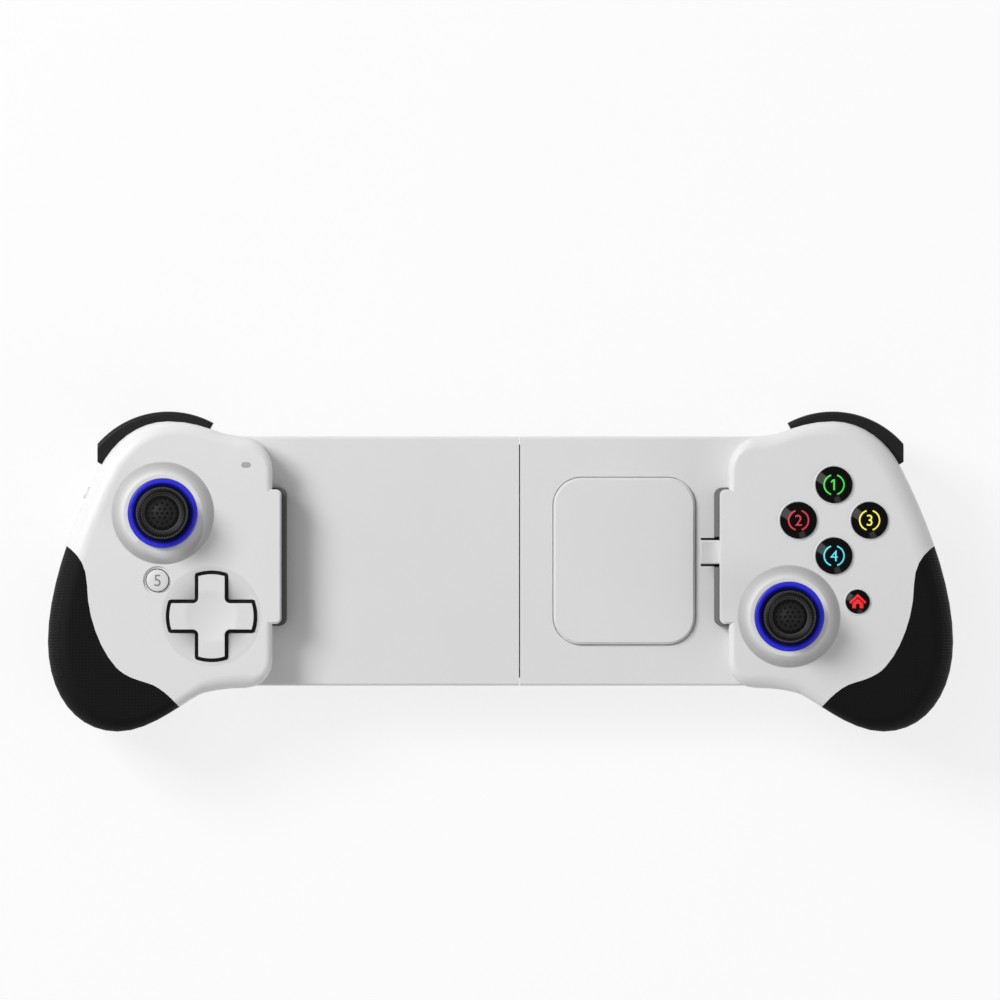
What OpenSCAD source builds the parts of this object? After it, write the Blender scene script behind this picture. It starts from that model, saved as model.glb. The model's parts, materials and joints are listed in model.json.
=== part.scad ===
// Telescopic phone gamepad, lying face up: +X to the right, +Y to the shoulder keys, +Z out of the face

/* [Bridge] */
// Distance between the two handles' inner edges, closed
bridge_len = 132.6; // [126:0.1:140]
// Height of the bridge, across the phone
bridge_h = 72.5; // [70:0.1:73]
// Middle of the bridge above the middle of the part
bridge_y = 3.05; // [2.8:0.05:3.2]
// Thickness of the bridge
bridge_t = 10; // [9:0.1:11]
// Back of the bridge above the table
bridge_back_z = 12; // [11:0.1:13]
// Place of the seam between the two panels
seam_x = 5.4; // [0:0.1:10]
// Gap at the seam
seam_gap = 0.3; // [0.2:0.05:0.5]
// How far the right half pulls out
bridge_travel = 50; // [20:1:50]
// Wall of the bridge covers
bridge_wall = 2; // [1.6:0.1:2.4]
// Depth to which the bridge enters a handle
bridge_root = 11.7; // [10:0.1:12]
// Edge round of the bridge covers
bridge_round = 0.8; // [0.4:0.1:1.2]
// Length of the tongue left inside the sleeve when the bridge is open
tongue_hold = 16; // [10:1:17]

/* [Handle outline] */
// Width of a handle, inner edge to outermost point
handle_w = 65.2; // [63:0.1:68]
// Top of the shoulder above the middle of the part
shoulder_top = 43.6; // [42.5:0.1:45]
// Foot of the palm below the middle of the part
palm_low = 46.5; // [45:0.1:49]
// Top of the inner edge
inner_top = 39.4; // [39.3:0.1:40]
// Foot of the inner edge
inner_low = 33.8; // [33.4:0.1:35]
// Upper inner corner radius
corner_top_r = 9.9; // [8:0.1:11]
// Lower inner corner radius
corner_low_r = 7.8; // [7:0.1:9]
// Place of the shoulder's crest from the inner edge
crest_u = 30.2; // [29:0.1:31.5]
// Radius of the shoulder
shoulder_r = 24.4; // [24:0.1:25]
// Height of the widest point
widest_v = -20.4; // [-23:0.1:-18]
// Place of the palm's foot from the inner edge
palm_u = 44.9; // [43:0.1:47]

/* [Handle depth] */
// Height of the face above the table
face_z = 34; // [33.5:0.1:34.5]
// Shell wall
shell_wall = 2.8; // [2.4:0.1:3]
// Rubber thickness of the grips
grip_skin = 1.4; // [1:0.1:1.6]
// Half the gap between front and back grips
grip_split = 0.05; // [0.03:0.01:0.15]
// Edge round along the inner side
inner_round = 2; // [1.8:0.1:2.6]
// Edge round along the outer side
outer_round = 6.5; // [5:0.1:7]
// Share of the outline that stays flat at the back
back_flat = 0.62; // [0.55:0.01:0.7]

/* [Shoulder keys] */
// How far the keys stand out of the shoulder
key_proud = 2.9; // [2.4:0.1:3]
// Direction of the keys' middle, from the shoulder's centre
key_dir = 75; // [74:0.5:76]
// Half angle of the bumper
bumper_half = 43.5; // [42:0.5:44]
// Lower face of the bumper
bumper_z0 = 20.5; // [20.3:0.1:21]
// Upper face of the bumper
bumper_z1 = 28; // [27:0.1:28.5]
// Inner end of the bumper, from the handle's inner edge
bumper_u0 = 17.2; // [16.8:0.1:17.8]
// Outer end of the bumper, from the handle's inner edge
bumper_u1 = 50.8; // [50:0.1:51.5]
// Thickness of the bumper
bumper_t = 5.5; // [4.5:0.1:5.6]
// Width of the trigger
trigger_w = 22; // [20:0.1:22.4]
// Lower end of the trigger
trigger_z0 = 3.5; // [3.2:0.1:5]
// Upper end of the trigger
trigger_z1 = 19.8; // [19.4:0.1:19.9]
// Thickness of the trigger's finger plate
trigger_t = 3.2; // [2.6:0.1:3.4]
// Distance of the trigger pin from the shoulder's centre
trigger_pin_d = 19.6; // [19.4:0.1:19.8]
// Radius of the trigger pin
trigger_pin_r = 1; // [0.8:0.1:1.1]
// Radius of the bumper pin
bumper_pin_r = 0.9; // [0.7:0.1:1]

/* [Thumbsticks] */
// Left stick, from the inner edge
left_stick_u = 31.6; // [31:0.1:32.2]
// Left stick, from the middle
left_stick_v = 16.9; // [16:0.1:17.5]
// Right stick, from the inner edge
right_stick_u = 17.4; // [17:0.1:18]
// Right stick, from the middle
right_stick_v = -13.05; // [-13.5:0.05:-12.5]
// Radius of the mound at its foot
mound_r = 14.8; // [14:0.1:15.2]
// Height of the mound above the face
mound_h = 3.2; // [2.8:0.1:3.4]
// Outer radius of the light ring
ring_r = 10.1; // [9.8:0.1:10.4]
// Inner radius of the light ring
ring_bore_r = 7.4; // [7.3:0.1:7.6]
// Radius of the thumb cap
cap_r = 7.55; // [7.2:0.05:7.8]
// Height of the thumb cap
cap_h = 4.4; // [4:0.1:4.6]
// Underside of the thumb cap above the stick's pivot
cap_lift = 11; // [11:0.1:12]
// Radius of the stick's dust dome
dome_r = 6.9; // [6.7:0.05:6.95]

/* [Buttons] */
// Middle of the face buttons, from the inner edge
pad4_u = 30.4; // [30:0.1:31]
// Middle of the face buttons, from the middle of the part
pad4_v = 14.85; // [14:0.05:15.5]
// Distance of each face button from their middle
pad4_r = 10.3; // [10:0.1:10.6]
// Radius of a face button
face_button_r = 5.2; // [5:0.05:5.3]
// Home button, from the inner edge
home_u = 37.3; // [36.8:0.1:38]
// Home button, from the middle
home_v = -8.75; // [-9.2:0.05:-8.4]
// Radius of the home button
home_r = 3.35; // [3.1:0.05:3.5]
// Turbo button, from the inner edge
turbo_u = 33.2; // [32.8:0.1:33.8]
// Turbo button, from the middle
turbo_v = -2.6; // [-3:0.1:-2.2]
// Radius of the turbo button
turbo_r = 3.2; // [3:0.05:3.4]
// Radius of the turbo button's recess
turbo_recess_r = 4.15; // [4:0.05:4.3]
// Height of a button's crown above the face
button_proud = 1.6; // [1.2:0.1:2]
// Button travel
button_travel = 1; // [0.6:0.1:1]
// Place of the side key along the flank, in ninths
side_key_at = 1; // [1:1:3]
// Radius of the side key
side_key_r = 1.8; // [1.5:0.1:2]

/* [D-pad] */
// D-pad, from the inner edge
dpad_u = 17.5; // [17.2:0.1:18]
// D-pad, from the middle
dpad_v = -13; // [-13.4:0.1:-12.6]
// Span of the D-pad
dpad_span = 24.4; // [23.8:0.1:25]
// Width of a D-pad arm
dpad_arm = 7.6; // [7.2:0.05:8]
// Gap round the D-pad
dpad_gap = 1.1; // [0.8:0.05:1.2]
// Dish round the D-pad: radius
dish_r = 14.5; // [14:0.1:15]
// Dish round the D-pad: depth
dish_d = 0.9; // [0.6:0.1:1]

/* [Clamps and plug] */
// Upper end of a clamp jaw
jaw_top = 23.8; // [23:0.1:24.5]
// Lower end of a clamp jaw
jaw_low = -15.2; // [-16:0.1:-14.5]
// How far a jaw stands out of its handle
jaw_proud = 2.7; // [2.4:0.1:3]
// Top of the clamp pads above the table
jaw_z = 31; // [30.5:0.1:31.1]
// Thickness of the clamp pads
jaw_pad_t = 1.5; // [1.2:0.1:1.8]
// Phone pad: distance from the right handle's inner edge
phone_pad_in = 9.7; // [9:0.1:12]
// Phone pad: width
phone_pad_w = 41.2; // [38:0.1:42]
// Phone pad: height
phone_pad_h = 48.5; // [44:0.1:50]
// Phone pad: corner radius
phone_pad_r = 8.1; // [6:0.1:9]
// Phone pad: height above the panel
phone_pad_t = 1.4; // [1:0.1:1.6]
// Charging plug: width of its metal shell
plug_w = 8.25; // [8.2:0.01:8.3]
// Charging plug: thickness of its metal shell
plug_t = 2.4; // [2.35:0.01:2.45]
// Charging plug: length in front of the jaw
plug_l = 5.4; // [5:0.1:6.5]
// Charging plug: middle above the part's middle
plug_y = 5.65; // [5:0.05:6.5]
// Charging plug: middle above the phone pad
plug_lift = 4; // [3.6:0.1:4.4]

/* [Clearances] */
// Sliding gap of the tongue in the sleeve
slide_gap = 0.3; // [0.2:0.05:0.4]
// Gap round a button or key
key_gap = 0.25; // [0.2:0.05:0.3]
// Radial clearance of a pin
pin_gap = 0.05; // [0.03:0.01:0.08]
// Smallest gap between pieces that move past each other
run_gap = 0.3; // [0.25:0.05:0.35]

/* [Hidden] */
$fn = 64;
eps = 1;
part_z = bridge_back_z + bridge_t / 2;
bridge_z1 = bridge_back_z + bridge_t;
ceiling_z = face_z - shell_wall;
inner_x = bridge_len / 2;
far = 60;

// Circuit boards and what stands on them
board_t = 1.2;
board_z1 = ceiling_z - 5;
board_gap = 0.4;
boss_foot = 4;
boss_in = handle_w - 15.2;
bosses = [[18, 29.5, boss_foot], [30, -29, boss_foot], [boss_in - 1, -4, shell_wall / 2],
  [boss_in, -31, boss_foot]];
boss_r = 2.8;
screw_r = 0.95;
screw_head_r = 2.2;
screw_head_h = 1.5;
screw_seat_z = 6;
screw_top_z = ceiling_z - 1;
pilot_gap = 0.05;

// Shoulder bay
shoulder_c = [crest_u, shoulder_top - shoulder_r];
bumper_bay_r = shoulder_r + key_proud - bumper_t - 2.4;
trigger_bay_d = trigger_pin_d - 2.4;
bay_wall = 1.6;
bumper_end_gap = 2.2;
trigger_side_gap = 0.35;
trigger_lug = 2.1;
trigger_hub_r = trigger_pin_r + 1;
bumper_pin_at = [shoulder_r - 1.4, key_dir + bumper_half - 4.5];

// Stick gimbal
can_w = 13.2;
can_wall = 1;
can_h = 4.6;
pivot_z = board_z1 + can_h - 0.8;
trunnion_r = 0.5;
yoke_r = 4.6;
yoke_bore_r = 3.4;
yoke_h = 1.6;
rocker_r = 2.6;
rocker_h = 2;
shaft_r = 1.25;
neck_r = 3.2;
dome_t = 0.9;
dome_half = 57;
ring_seat_z = face_z + 0.4;
ring_seat_w = 1.7;

// Buttons
flange_t = 1.2;
flange_w = 0.8;
flange_z1 = ceiling_z - 0.1;
crown_drop = 0.9;
membrane_t = 0.8;
membrane_dome = 0.7;
membrane_foot = 1.4;
membrane_strip = 0.95;
membrane_top = flange_z1 - flange_t - button_travel - run_gap;
side_key_z = 21.8;
side_key_proud = 0.9;
side_key_play = 0.6;
side_key_flange = 1;
light_u = 7.5;
light_v = 30.9;
light_l = 2.6;
light_w = 1.4;

// D-pad
dpad_top = face_z + 1.2;
dpad_flange_z1 = ceiling_z - 1.3;
dpad_flange_z0 = dpad_flange_z1 - 1;
dpad_flange_w = 0.7;
dpad_fillet = 1.6;
dpad_corner = 0.7;
dpad_pivot_z = dpad_flange_z0 - 0.4;
fulcrum_r = 1.6;

// Bridge inside
cover_in = bridge_h / 2 - bridge_wall;
slot_z0 = bridge_back_z + bridge_wall;
slot_z1 = bridge_z1 - bridge_wall;
tongue_x0 = seam_x - bridge_travel - tongue_hold;
tongue_x1 = inner_x - 1;
tongue_hw = cover_in - slide_gap;
tongue_z0 = slot_z0 + slide_gap;
tongue_z1 = slot_z1 - slide_gap;
channel_y = 22;
channel_w = 6;
channel_floor = 0.4;
channel_x1 = tongue_x0 + bridge_travel + 2;
cable_w = 20;
cable_t = 0.3;
cable_pleats = 16;
spring_d = 4.2;
spring_wire = 0.7;
spring_turns = 7;
anchor_x = -(inner_x + 5);
anchor_r = 1.2;
bridge_screw_x = inner_x + 6.5;
bridge_screw_y = 28;
phone_pad_x = inner_x - phone_pad_in - phone_pad_w / 2;
pad_recess = 0.6;
pad_groove = 0.25;
plug_z = bridge_z1 + phone_pad_t + plug_lift;
plug_shell_t = 0.3;
jaw_root = 2.4;
jaw_sink = 0.04;
jaw_ease = 0.45;

// Points of a cubic curve, each with its outward normal, for an outline that runs clockwise
function curve(a, b, c, d, n) = [
  for (i = [0 : n - 1])
    let (t = i / n, s = 1 - t)
    let (p = s * s * s * a + 3 * s * s * t * b + 3 * s * t * t * c + t * t * t * d)
    let (g = s * s * (b - a) + 2 * s * t * (c - b) + t * t * (d - c))
    [p, [-g.y, g.x] / norm(g)]
];

// Handle outline in its own frame: u outwards from the inner edge, v up from the middle of the part
bend = 0.5523;
crest = [crest_u, shoulder_top];
flank = [crest_u + 0.803 * shoulder_r, shoulder_top - 0.529 * shoulder_r];
flank_dir = [0.46, -0.888];
widest = [handle_w, widest_v];
palm = [palm_u, -palm_low];
heel = [19.7, -inner_low - 1.4];
heel_dir = [0.968, -0.25];
in_top = [0, inner_top - corner_top_r];
in_low = [0, -inner_low + corner_low_r];
top_end = [corner_top_r, inner_top];
low_end = [corner_low_r, -inner_low];
flank_pull = 0.318 * norm(widest - flank);
flank_curve = curve(flank, flank + flank_pull * flank_dir, widest + [0, 0.94 * flank_pull], widest, 9);
outline = concat(
  curve(in_low, in_low + [0, 12], in_top - [0, 12], in_top, 1),
  curve(in_top, in_top + [0, bend * corner_top_r], top_end - [bend * corner_top_r, 0], top_end, 6),
  curve(top_end, top_end + [6, 0.2], crest - [10, 0], crest, 6),
  curve(crest, crest + [9, 0], flank - 7.5 * flank_dir, flank, 8),
  flank_curve,
  curve(widest, widest - [0, 15.5], palm + [12, 0], palm, 10),
  curve(palm, palm - [10.5, 0], heel + 5 * heel_dir, heel, 8),
  curve(heel, heel - 4 * heel_dir, low_end + [4, 0], low_end, 3),
  curve(low_end, low_end - [bend * corner_low_r, 0], in_low - [0, bend * corner_low_r], in_low, 5)
);
handle_c = [handle_w / 2, -2];

// Border between shell and grip, closed far outside the handle
grip_edge = [
  [62.5, 9.2], [58.2, 6.6], [53.9, 4.2], [53.6, -3.9], [53.6, -12.9], [49.9, -22.7], [45.2, -27.8],
  [43.2, -30], [39.9, -31.3], [36.5, -32.2], [32.6, -33.2], [29, -36.6], [25.5, -41]
];
grip_outline = concat(
  [for (k = [0 : 3 : 9])
    for (q = curve(grip_edge[k], grip_edge[k + 1], grip_edge[k + 2], grip_edge[k + 3], 6)) q[0]],
  [grip_edge[12], [25.5, -far], [handle_w + far / 3, -far], [handle_w + far / 3, 9.2 + far / 3]]
);

// Edge round at an outline point: small on the inner side, generous on the outer one
function edge_round(q) = inner_round + (outer_round - inner_round) * (1 + q[1].x) / 2;

// Closed solid through rings of equal count, lowest ring first, each end closed by a fan about its middle
module loft(rings) {
  n = len(rings[0]);
  m = len(rings);
  sides = [for (j = [0 : m - 2]) for (i = [0 : n - 1])
    let (a = j * n + i, b = j * n + (i + 1) % n)
    each [[a, b, b + n], [a, b + n, a + n]]];
  caps = [for (i = [0 : n - 1])
    let (b = (i + 1) % n, top = (m - 1) * n)
    each [[b, i, m * n], [top + i, top + b, m * n + 1]]];
  ends = [for (r = [rings[0], rings[m - 1]]) [for (p = r) 1] * r / n];
  polyhedron(concat([for (r = rings) each r], ends), concat(sides, caps), convexity = 6);
}

// Front half of a handle, drawn in from the outline by w and run past the parting plane by over
module front_block(w = 0, steps = 6, over = 0) {
  rows = [for (j = [0 : steps]) 90 * j / steps];
  loft(concat(
    [[for (q = outline) let (p = q[0] - w * q[1]) [p.x, p.y, part_z - over]]],
    [for (a = rows) [for (q = outline)
      let (f = max(edge_round(q) - w, 0.5))
      let (p = q[0] - (w + f * (1 - cos(a))) * q[1])
      [p.x, p.y, face_z - w - f * (1 - sin(a))]]]
  ));
}

// Back half of a handle, drawn in from the outline by w and run past the parting plane by over
module back_block(w = 0, steps = 7, over = 0) {
  rows = [for (j = [0 : steps]) 90 - 90 * j / steps];
  rings = [for (a = rows) [for (q = outline)
    let (s = 1 - (1 - back_flat) * (1 - cos(a)))
    let (p = handle_c + s * (q[0] - w * q[1] - handle_c))
    [p.x, p.y, part_z - (part_z - w) * sin(a)]]];
  top = [for (q = outline) let (p = q[0] - w * q[1]) [p.x, p.y, part_z + over]];
  loft(over > 0 ? concat(rings, [top]) : rings);
}

module on_right() {
  translate([inner_x, 0, 0]) children();
}

module on_left() {
  mirror([1, 0, 0]) on_right() children();
}

// Ring-shaped wedge about the shoulder's centre, from radius r0 to r1, half an angle to each side
module shoulder_wedge(r0, r1, z0, z1, half_a, half_b) {
  translate([shoulder_c.x, shoulder_c.y, z0])
    rotate([0, 0, key_dir - half_b])
      rotate_extrude(angle = half_a + half_b)
        translate([r0, 0]) square([r1 - r0, z1 - z0]);
}

module at_bosses(z) {
  for (b = bosses) translate([b.x, b.y, z]) children();
}

module grip_area(z0, z1) {
  translate([0, 0, z0]) linear_extrude(z1 - z0) polygon(grip_outline);
}

module bridge_notch(z0, z1) {
  translate([-far, -palm_low, z0]) cube([far + bridge_root, palm_low + shoulder_top - 1, z1 - z0]);
}

module key_bays() {
  shoulder_wedge(bumper_bay_r, far, bumper_z0 - run_gap, bumper_z1 + run_gap,
    bumper_half + 0.5, bumper_half + bumper_end_gap);
  trigger_slab(trigger_bay_d, trigger_w / 2 + trigger_side_gap, -eps, bumper_z0);
}

// Material that stays round the key bays
module bay_walls() {
  shoulder_wedge(bumper_bay_r - bay_wall, far, bumper_z0 - 4, far, bumper_half + 4, bumper_half + 4);
  trigger_slab(trigger_bay_d - bay_wall, trigger_w / 2 + trigger_side_gap + trigger_lug, -eps, bumper_z0);
}

// Slab across the trigger's width, outwards from distance d
module trigger_slab(d, half, z0, z1) {
  translate([shoulder_c.x, shoulder_c.y, z0])
    rotate([0, 0, key_dir]) translate([d, -half, 0]) cube([far, 2 * half, z1 - z0]);
}

// Straight line of the trigger pin, from its middle
module at_trigger_pin() {
  translate([shoulder_c.x, shoulder_c.y, part_z])
    rotate([0, 0, key_dir]) translate([trigger_pin_d, 0, 0]) rotate([90, 0, 0]) children();
}

trigger_pin_l = trigger_w + 2 * trigger_side_gap + 2 * 1.5;

module at_bumper_pin() {
  translate([shoulder_c.x, shoulder_c.y, 0])
    rotate([0, 0, bumper_pin_at[1]]) translate([bumper_pin_at[0], 0, 0]) children();
}

bumper_pin_z0 = bumper_z0 - 2.5;
bumper_pin_z1 = bumper_z1 + 2;

// Raised collar round a stick
module mound(u, v) {
  lip_r = ring_r + 1.6;
  translate([u, v, face_z - eps]) rotate_extrude()
    polygon([[0, 0], [mound_r, 0], [mound_r, eps], [lip_r + 0.2, eps + mound_h - 0.7],
      [lip_r - 0.1, eps + mound_h - 0.25], [lip_r - 0.7, eps + mound_h], [0, eps + mound_h]]);
}

module stick_hole(u, v) {
  translate([u, v, ceiling_z - eps]) cylinder(r = ring_r - ring_seat_w, h = far);
  translate([u, v, ring_seat_z]) cylinder(r = ring_r + pin_gap, h = far);
}

module button_hole(u, v, r) {
  translate([u, v, ceiling_z - eps]) cylinder(r = r + key_gap, h = far);
}

// D-pad cross in plan, grown by w, with arched arm ends
module dpad_plan(w = 0) {
  half = dpad_span / 2 + w;
  arm = dpad_arm / 2 + w;
  arch_r = 1.7 * dpad_arm + w;
  fillet = max(dpad_fillet - w, 0.3);
  for (a = [0, 90])
    rotate(a) intersection() {
      round_rect(2 * half, 2 * arm, dpad_corner + w);
      translate([half - arch_r, 0]) circle(r = arch_r);
      translate([arch_r - half, 0]) circle(r = arch_r);
    }
  for (a = [0 : 90 : 270])
    rotate(a) translate([arm, arm]) difference() {
      translate([-fillet / 2, -fillet / 2]) square(1.5 * fillet);
      translate([fillet, fillet]) circle(r = fillet);
    }
}

module left_face_cuts() {
  stick_hole(left_stick_u, left_stick_v);
  button_hole(turbo_u, turbo_v, turbo_r);
  translate([turbo_u, turbo_v, face_z - 0.6]) cylinder(r = turbo_recess_r, h = eps);
  dish_ball_r = (dish_r * dish_r + dish_d * dish_d) / (2 * dish_d);
  translate([dpad_u, dpad_v, face_z - dish_d + dish_ball_r]) sphere(r = dish_ball_r);
  translate([dpad_u, dpad_v, ceiling_z - eps]) linear_extrude(far / 6) dpad_plan(dpad_gap);
  translate([light_u, light_v, ceiling_z - eps]) linear_extrude(far / 6) light_plan(pin_gap);
  at_side_key() cylinder(r = side_key_r + key_gap, h = far / 6, center = true);
}

module right_face_cuts() {
  stick_hole(right_stick_u, right_stick_v);
  for (a = [0 : 90 : 270])
    button_hole(pad4_u + pad4_r * cos(a), pad4_v + pad4_r * sin(a), face_button_r);
  button_hole(home_u, home_v, home_r);
}

module light_plan(grow = 0) {
  square([light_l - light_w, light_w + 2 * grow], center = true);
  for (s = [-1, 1]) translate([s * (light_l - light_w) / 2, 0]) circle(d = light_w + 2 * grow);
}

module at_side_key() {
  mid = (flank_curve[side_key_at] + flank_curve[side_key_at + 1]) / 2;
  translate([mid[0].x, mid[0].y, side_key_z])
    rotate([0, 0, atan2(mid[1].y, mid[1].x)]) rotate([0, 90, 0]) children();
}

// Front shell of a handle; the children are first what is raised on the face, then what is cut through it
module front_shell() {
  difference() {
    union() {
      difference() {
        union() {
          difference() {
            front_block();
            grip_area(part_z - eps, face_z + eps);
          }
          intersection() {
            front_block(grip_skin, 3, eps);
            grip_area(part_z, face_z + eps);
          }
        }
        difference() {
          front_block(shell_wall, 3, eps);
          bay_walls();
        }
      }
      at_bosses(board_z1) cylinder(r = boss_r, h = face_z - board_z1 - shell_wall / 2);
      clamp_jaw();
      children(0);
    }
    at_bosses(board_z1 - eps) cylinder(r = screw_r + pilot_gap, h = screw_top_z - board_z1 + eps);
    bridge_notch(part_z - eps, bridge_z1);
    key_bays();
    trigger_pin();
    bumper_pin();
    children(1);
  }
}

// Wells in the back through which the screws are driven
module screw_wells() {
  at_bosses(-eps) cylinder(r = screw_head_r + key_gap, h = screw_seat_z + eps);
}

module back_shell() {
  difference() {
    union() {
      difference() {
        union() {
          difference() {
            back_block();
            grip_area(-eps, part_z + eps);
          }
          intersection() {
            back_block(grip_skin, 4, eps);
            grip_area(-eps, part_z);
          }
        }
        difference() {
          back_block(shell_wall, 3, eps);
          bay_walls();
        }
      }
      for (b = bosses) translate(b) cylinder(r = boss_r + 1, h = part_z - 2 - b.z);
      at_bosses(part_z - 3) cylinder(r = boss_r, h = board_z1 - board_t - part_z + 3);
    }
    at_bosses(-eps) cylinder(r = screw_r + pilot_gap, h = far);
    screw_wells();
    bridge_notch(bridge_back_z, part_z + eps);
    key_bays();
    trigger_pin();
  }
}

module front_grip() {
  difference() {
    intersection() {
      front_block();
      grip_area(part_z + grip_split, far);
    }
    front_block(grip_skin, 3, eps);
  }
}

module back_grip() {
  difference() {
    intersection() {
      back_block();
      grip_area(-eps, part_z - grip_split);
    }
    back_block(grip_skin, 4, eps);
    screw_wells();
  }
}

// Clamp jaw in plan, with its two outer corners round, grown by g at its ends and face
module jaw_plan(face, g, root) {
  r = 1.6 + g;
  l = jaw_top - jaw_low + 2 * g;
  translate([r - face, jaw_low - g]) square([face + root - r, l]);
  translate([-face, jaw_low - g + r]) square([r, l - 2 * r]);
  for (y = [jaw_low - g + r, jaw_top + g - r]) translate([r - face, y]) circle(r = r);
}

pad_wrap = 0.6;
plug_root = 3;

// Metal outline of the plug, shrunk by s
module plug_plan(s = 0) {
  square([plug_w - plug_t, plug_t - 2 * s], center = true);
  for (k = [-1, 1]) translate([k * (plug_w - plug_t) / 2, 0]) circle(d = plug_t - 2 * s);
}

module at_plug() {
  translate([-jaw_proud - plug_l, plug_y, plug_z]) rotate([90, 0, 90]) children();
}

// Ear that carries a clamp pad, level with the face and eased along its upper edge
module clamp_jaw() {
  h = face_z - jaw_sink - bridge_z1 + eps;
  translate([0, 0, bridge_z1 - eps]) {
    linear_extrude(h - jaw_ease) jaw_plan(jaw_proud, 0, jaw_root);
    linear_extrude(h) jaw_plan(jaw_proud - jaw_ease, -jaw_ease, jaw_root);
  }
}

// Rubber boot that wraps the jaw's face
module clamp_pad() {
  translate([0, 0, bridge_z1 + run_gap]) linear_extrude(jaw_z - bridge_z1 - 3 * run_gap)
    difference() {
      jaw_plan(jaw_proud + jaw_pad_t, pad_wrap, -pin_gap);
      jaw_plan(jaw_proud, 0, jaw_root);
    }
}

module plug_shell() {
  color("silver") on_right() at_plug() linear_extrude(plug_l + plug_root)
    difference() {
      plug_plan();
      plug_plan(plug_shell_t);
    }
}

module plug_core() {
  tongue_slot = [6.7, 0.75];
  color("#202020") on_right() at_plug() difference() {
    translate([0, 0, 0.4]) linear_extrude(plug_l + plug_root - 0.4) plug_plan(plug_shell_t);
    translate([0, 0, -eps]) linear_extrude(plug_l + eps) square(tongue_slot, center = true);
  }
}

// Circuit board that follows the handle's outline inside the wall
module board() {
  difference() {
    translate([0, 0, board_z1 - board_t]) linear_extrude(board_t)
      polygon([for (q = outline) q[0] - (shell_wall + board_gap) * q[1]]);
    translate([-far, -far, 0]) cube([far + shell_wall + 2 * board_gap, 2 * far, far]);
    shoulder_wedge(bumper_bay_r - bay_wall - board_gap, far, 0, far, bumper_half + 5, bumper_half + 5);
    at_bosses(0) cylinder(r = screw_r + pilot_gap, h = far);
  }
}

module shell_screws() {
  at_bosses(screw_seat_z) {
    translate([0, 0, -screw_head_h]) cylinder(r = screw_head_r, h = screw_head_h);
    translate([0, 0, -screw_head_h / 2]) cylinder(r = screw_r, h = screw_top_z - screw_seat_z);
  }
}

module stick_ring() {
  top = face_z + mound_h + 0.1;
  rotate_extrude() polygon([[ring_bore_r, ring_seat_z], [ring_r, ring_seat_z], [ring_r, top - 0.3],
    [ring_r - 0.3, top], [ring_r - 1.1, top], [ring_bore_r, top - 1.1]]);
}

module stick_housing() {
  floor_t = 0.8;
  difference() {
    translate([-can_w / 2, -can_w / 2, board_z1]) cube([can_w, can_w, can_h]);
    translate([can_wall - can_w / 2, can_wall - can_w / 2, board_z1 + floor_t])
      cube([can_w - 2 * can_wall, can_w - 2 * can_wall, can_h]);
    translate([0, 0, pivot_z]) rotate([0, 90, 0])
      cylinder(r = trunnion_r + pin_gap, h = 2 * can_w, center = true);
  }
}

// Pair of trunnions along an axis in plan, from radius r0 to r1
module trunnions(dir, r0, r1) {
  for (a = [dir, dir + 180])
    rotate([0, 0, a]) translate([r0, 0, 0]) rotate([0, 90, 0]) cylinder(r = trunnion_r, h = r1 - r0);
}

module stick_yoke() {
  translate([0, 0, pivot_z]) difference() {
    union() {
      rotate_extrude() translate([yoke_bore_r, -yoke_h / 2]) square([yoke_r - yoke_bore_r, yoke_h]);
      trunnions(0, yoke_r - 0.4, can_w / 2);
    }
    rotate([90, 0, 0]) cylinder(r = trunnion_r + pin_gap, h = 4 * yoke_r, center = true);
  }
}

module stick_rocker() {
  translate([0, 0, pivot_z]) {
    rotate_extrude() translate([shaft_r + pin_gap, -rocker_h / 2])
      square([rocker_r - shaft_r - pin_gap, rocker_h]);
    trunnions(90, rocker_r - 0.4, yoke_r);
  }
}

// Thumbstick about its pivot: shaft, dust dome, neck and dished cap with a crowned middle
module thumbstick() {
  top = cap_lift + cap_h;
  groove_r = 5.1;
  crown_r = 4.4;
  lean = [far * sin(dome_half), far * cos(dome_half)];
  translate([0, 0, pivot_z]) rotate_extrude() {
    translate([0, -2.1]) square([shaft_r, cap_lift + 2.5]);
    intersection() {
      difference() {
        circle(r = dome_r);
        circle(r = dome_r - dome_t);
      }
      polygon([[0, 0], [0, far], lean]);
    }
    polygon([[0, dome_r - 0.8], [neck_r + 0.6, dome_r - 0.9], [neck_r, dome_r + 0.3],
      [neck_r, cap_lift - 1.2], [neck_r + 0.9, cap_lift - 0.3], [neck_r + 2, cap_lift], [0, cap_lift + 0.2]]);
    polygon([[0, cap_lift], [cap_r - 0.9, cap_lift], [cap_r - 0.2, cap_lift + 0.5], [cap_r, cap_lift + 1.1],
      [cap_r, top - 1.1], [cap_r - 0.35, top - 0.35], [cap_r - 1.1, top], [groove_r + 0.5, top - 0.4],
      [groove_r, top - 0.9], [0, top - 0.9]]);
    intersection() {
      translate([0, top - 0.95]) square([crown_r, 1]);
      translate([0, top - 0.3 - 2 * crown_r]) circle(r = 2 * crown_r, $fn = 96);
    }
  }
}

module at_left_stick() {
  on_left() translate([left_stick_u, left_stick_v, 0]) children();
}

module at_right_stick() {
  on_right() translate([right_stick_u, right_stick_v, 0]) children();
}

// Round button with a crowned top and a flange under the face
module round_button(r, proud, drop) {
  crown_ball_r = (r * r + drop * drop) / (2 * drop);
  flange_z0 = flange_z1 - flange_t;
  top = face_z + proud;
  intersection() {
    translate([0, 0, flange_z0]) cylinder(r = r, h = top - flange_z0 + eps);
    translate([0, 0, top - crown_ball_r]) sphere(r = crown_ball_r);
  }
  translate([0, 0, flange_z0]) cylinder(r = r + flange_w, h = flange_t);
}

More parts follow.
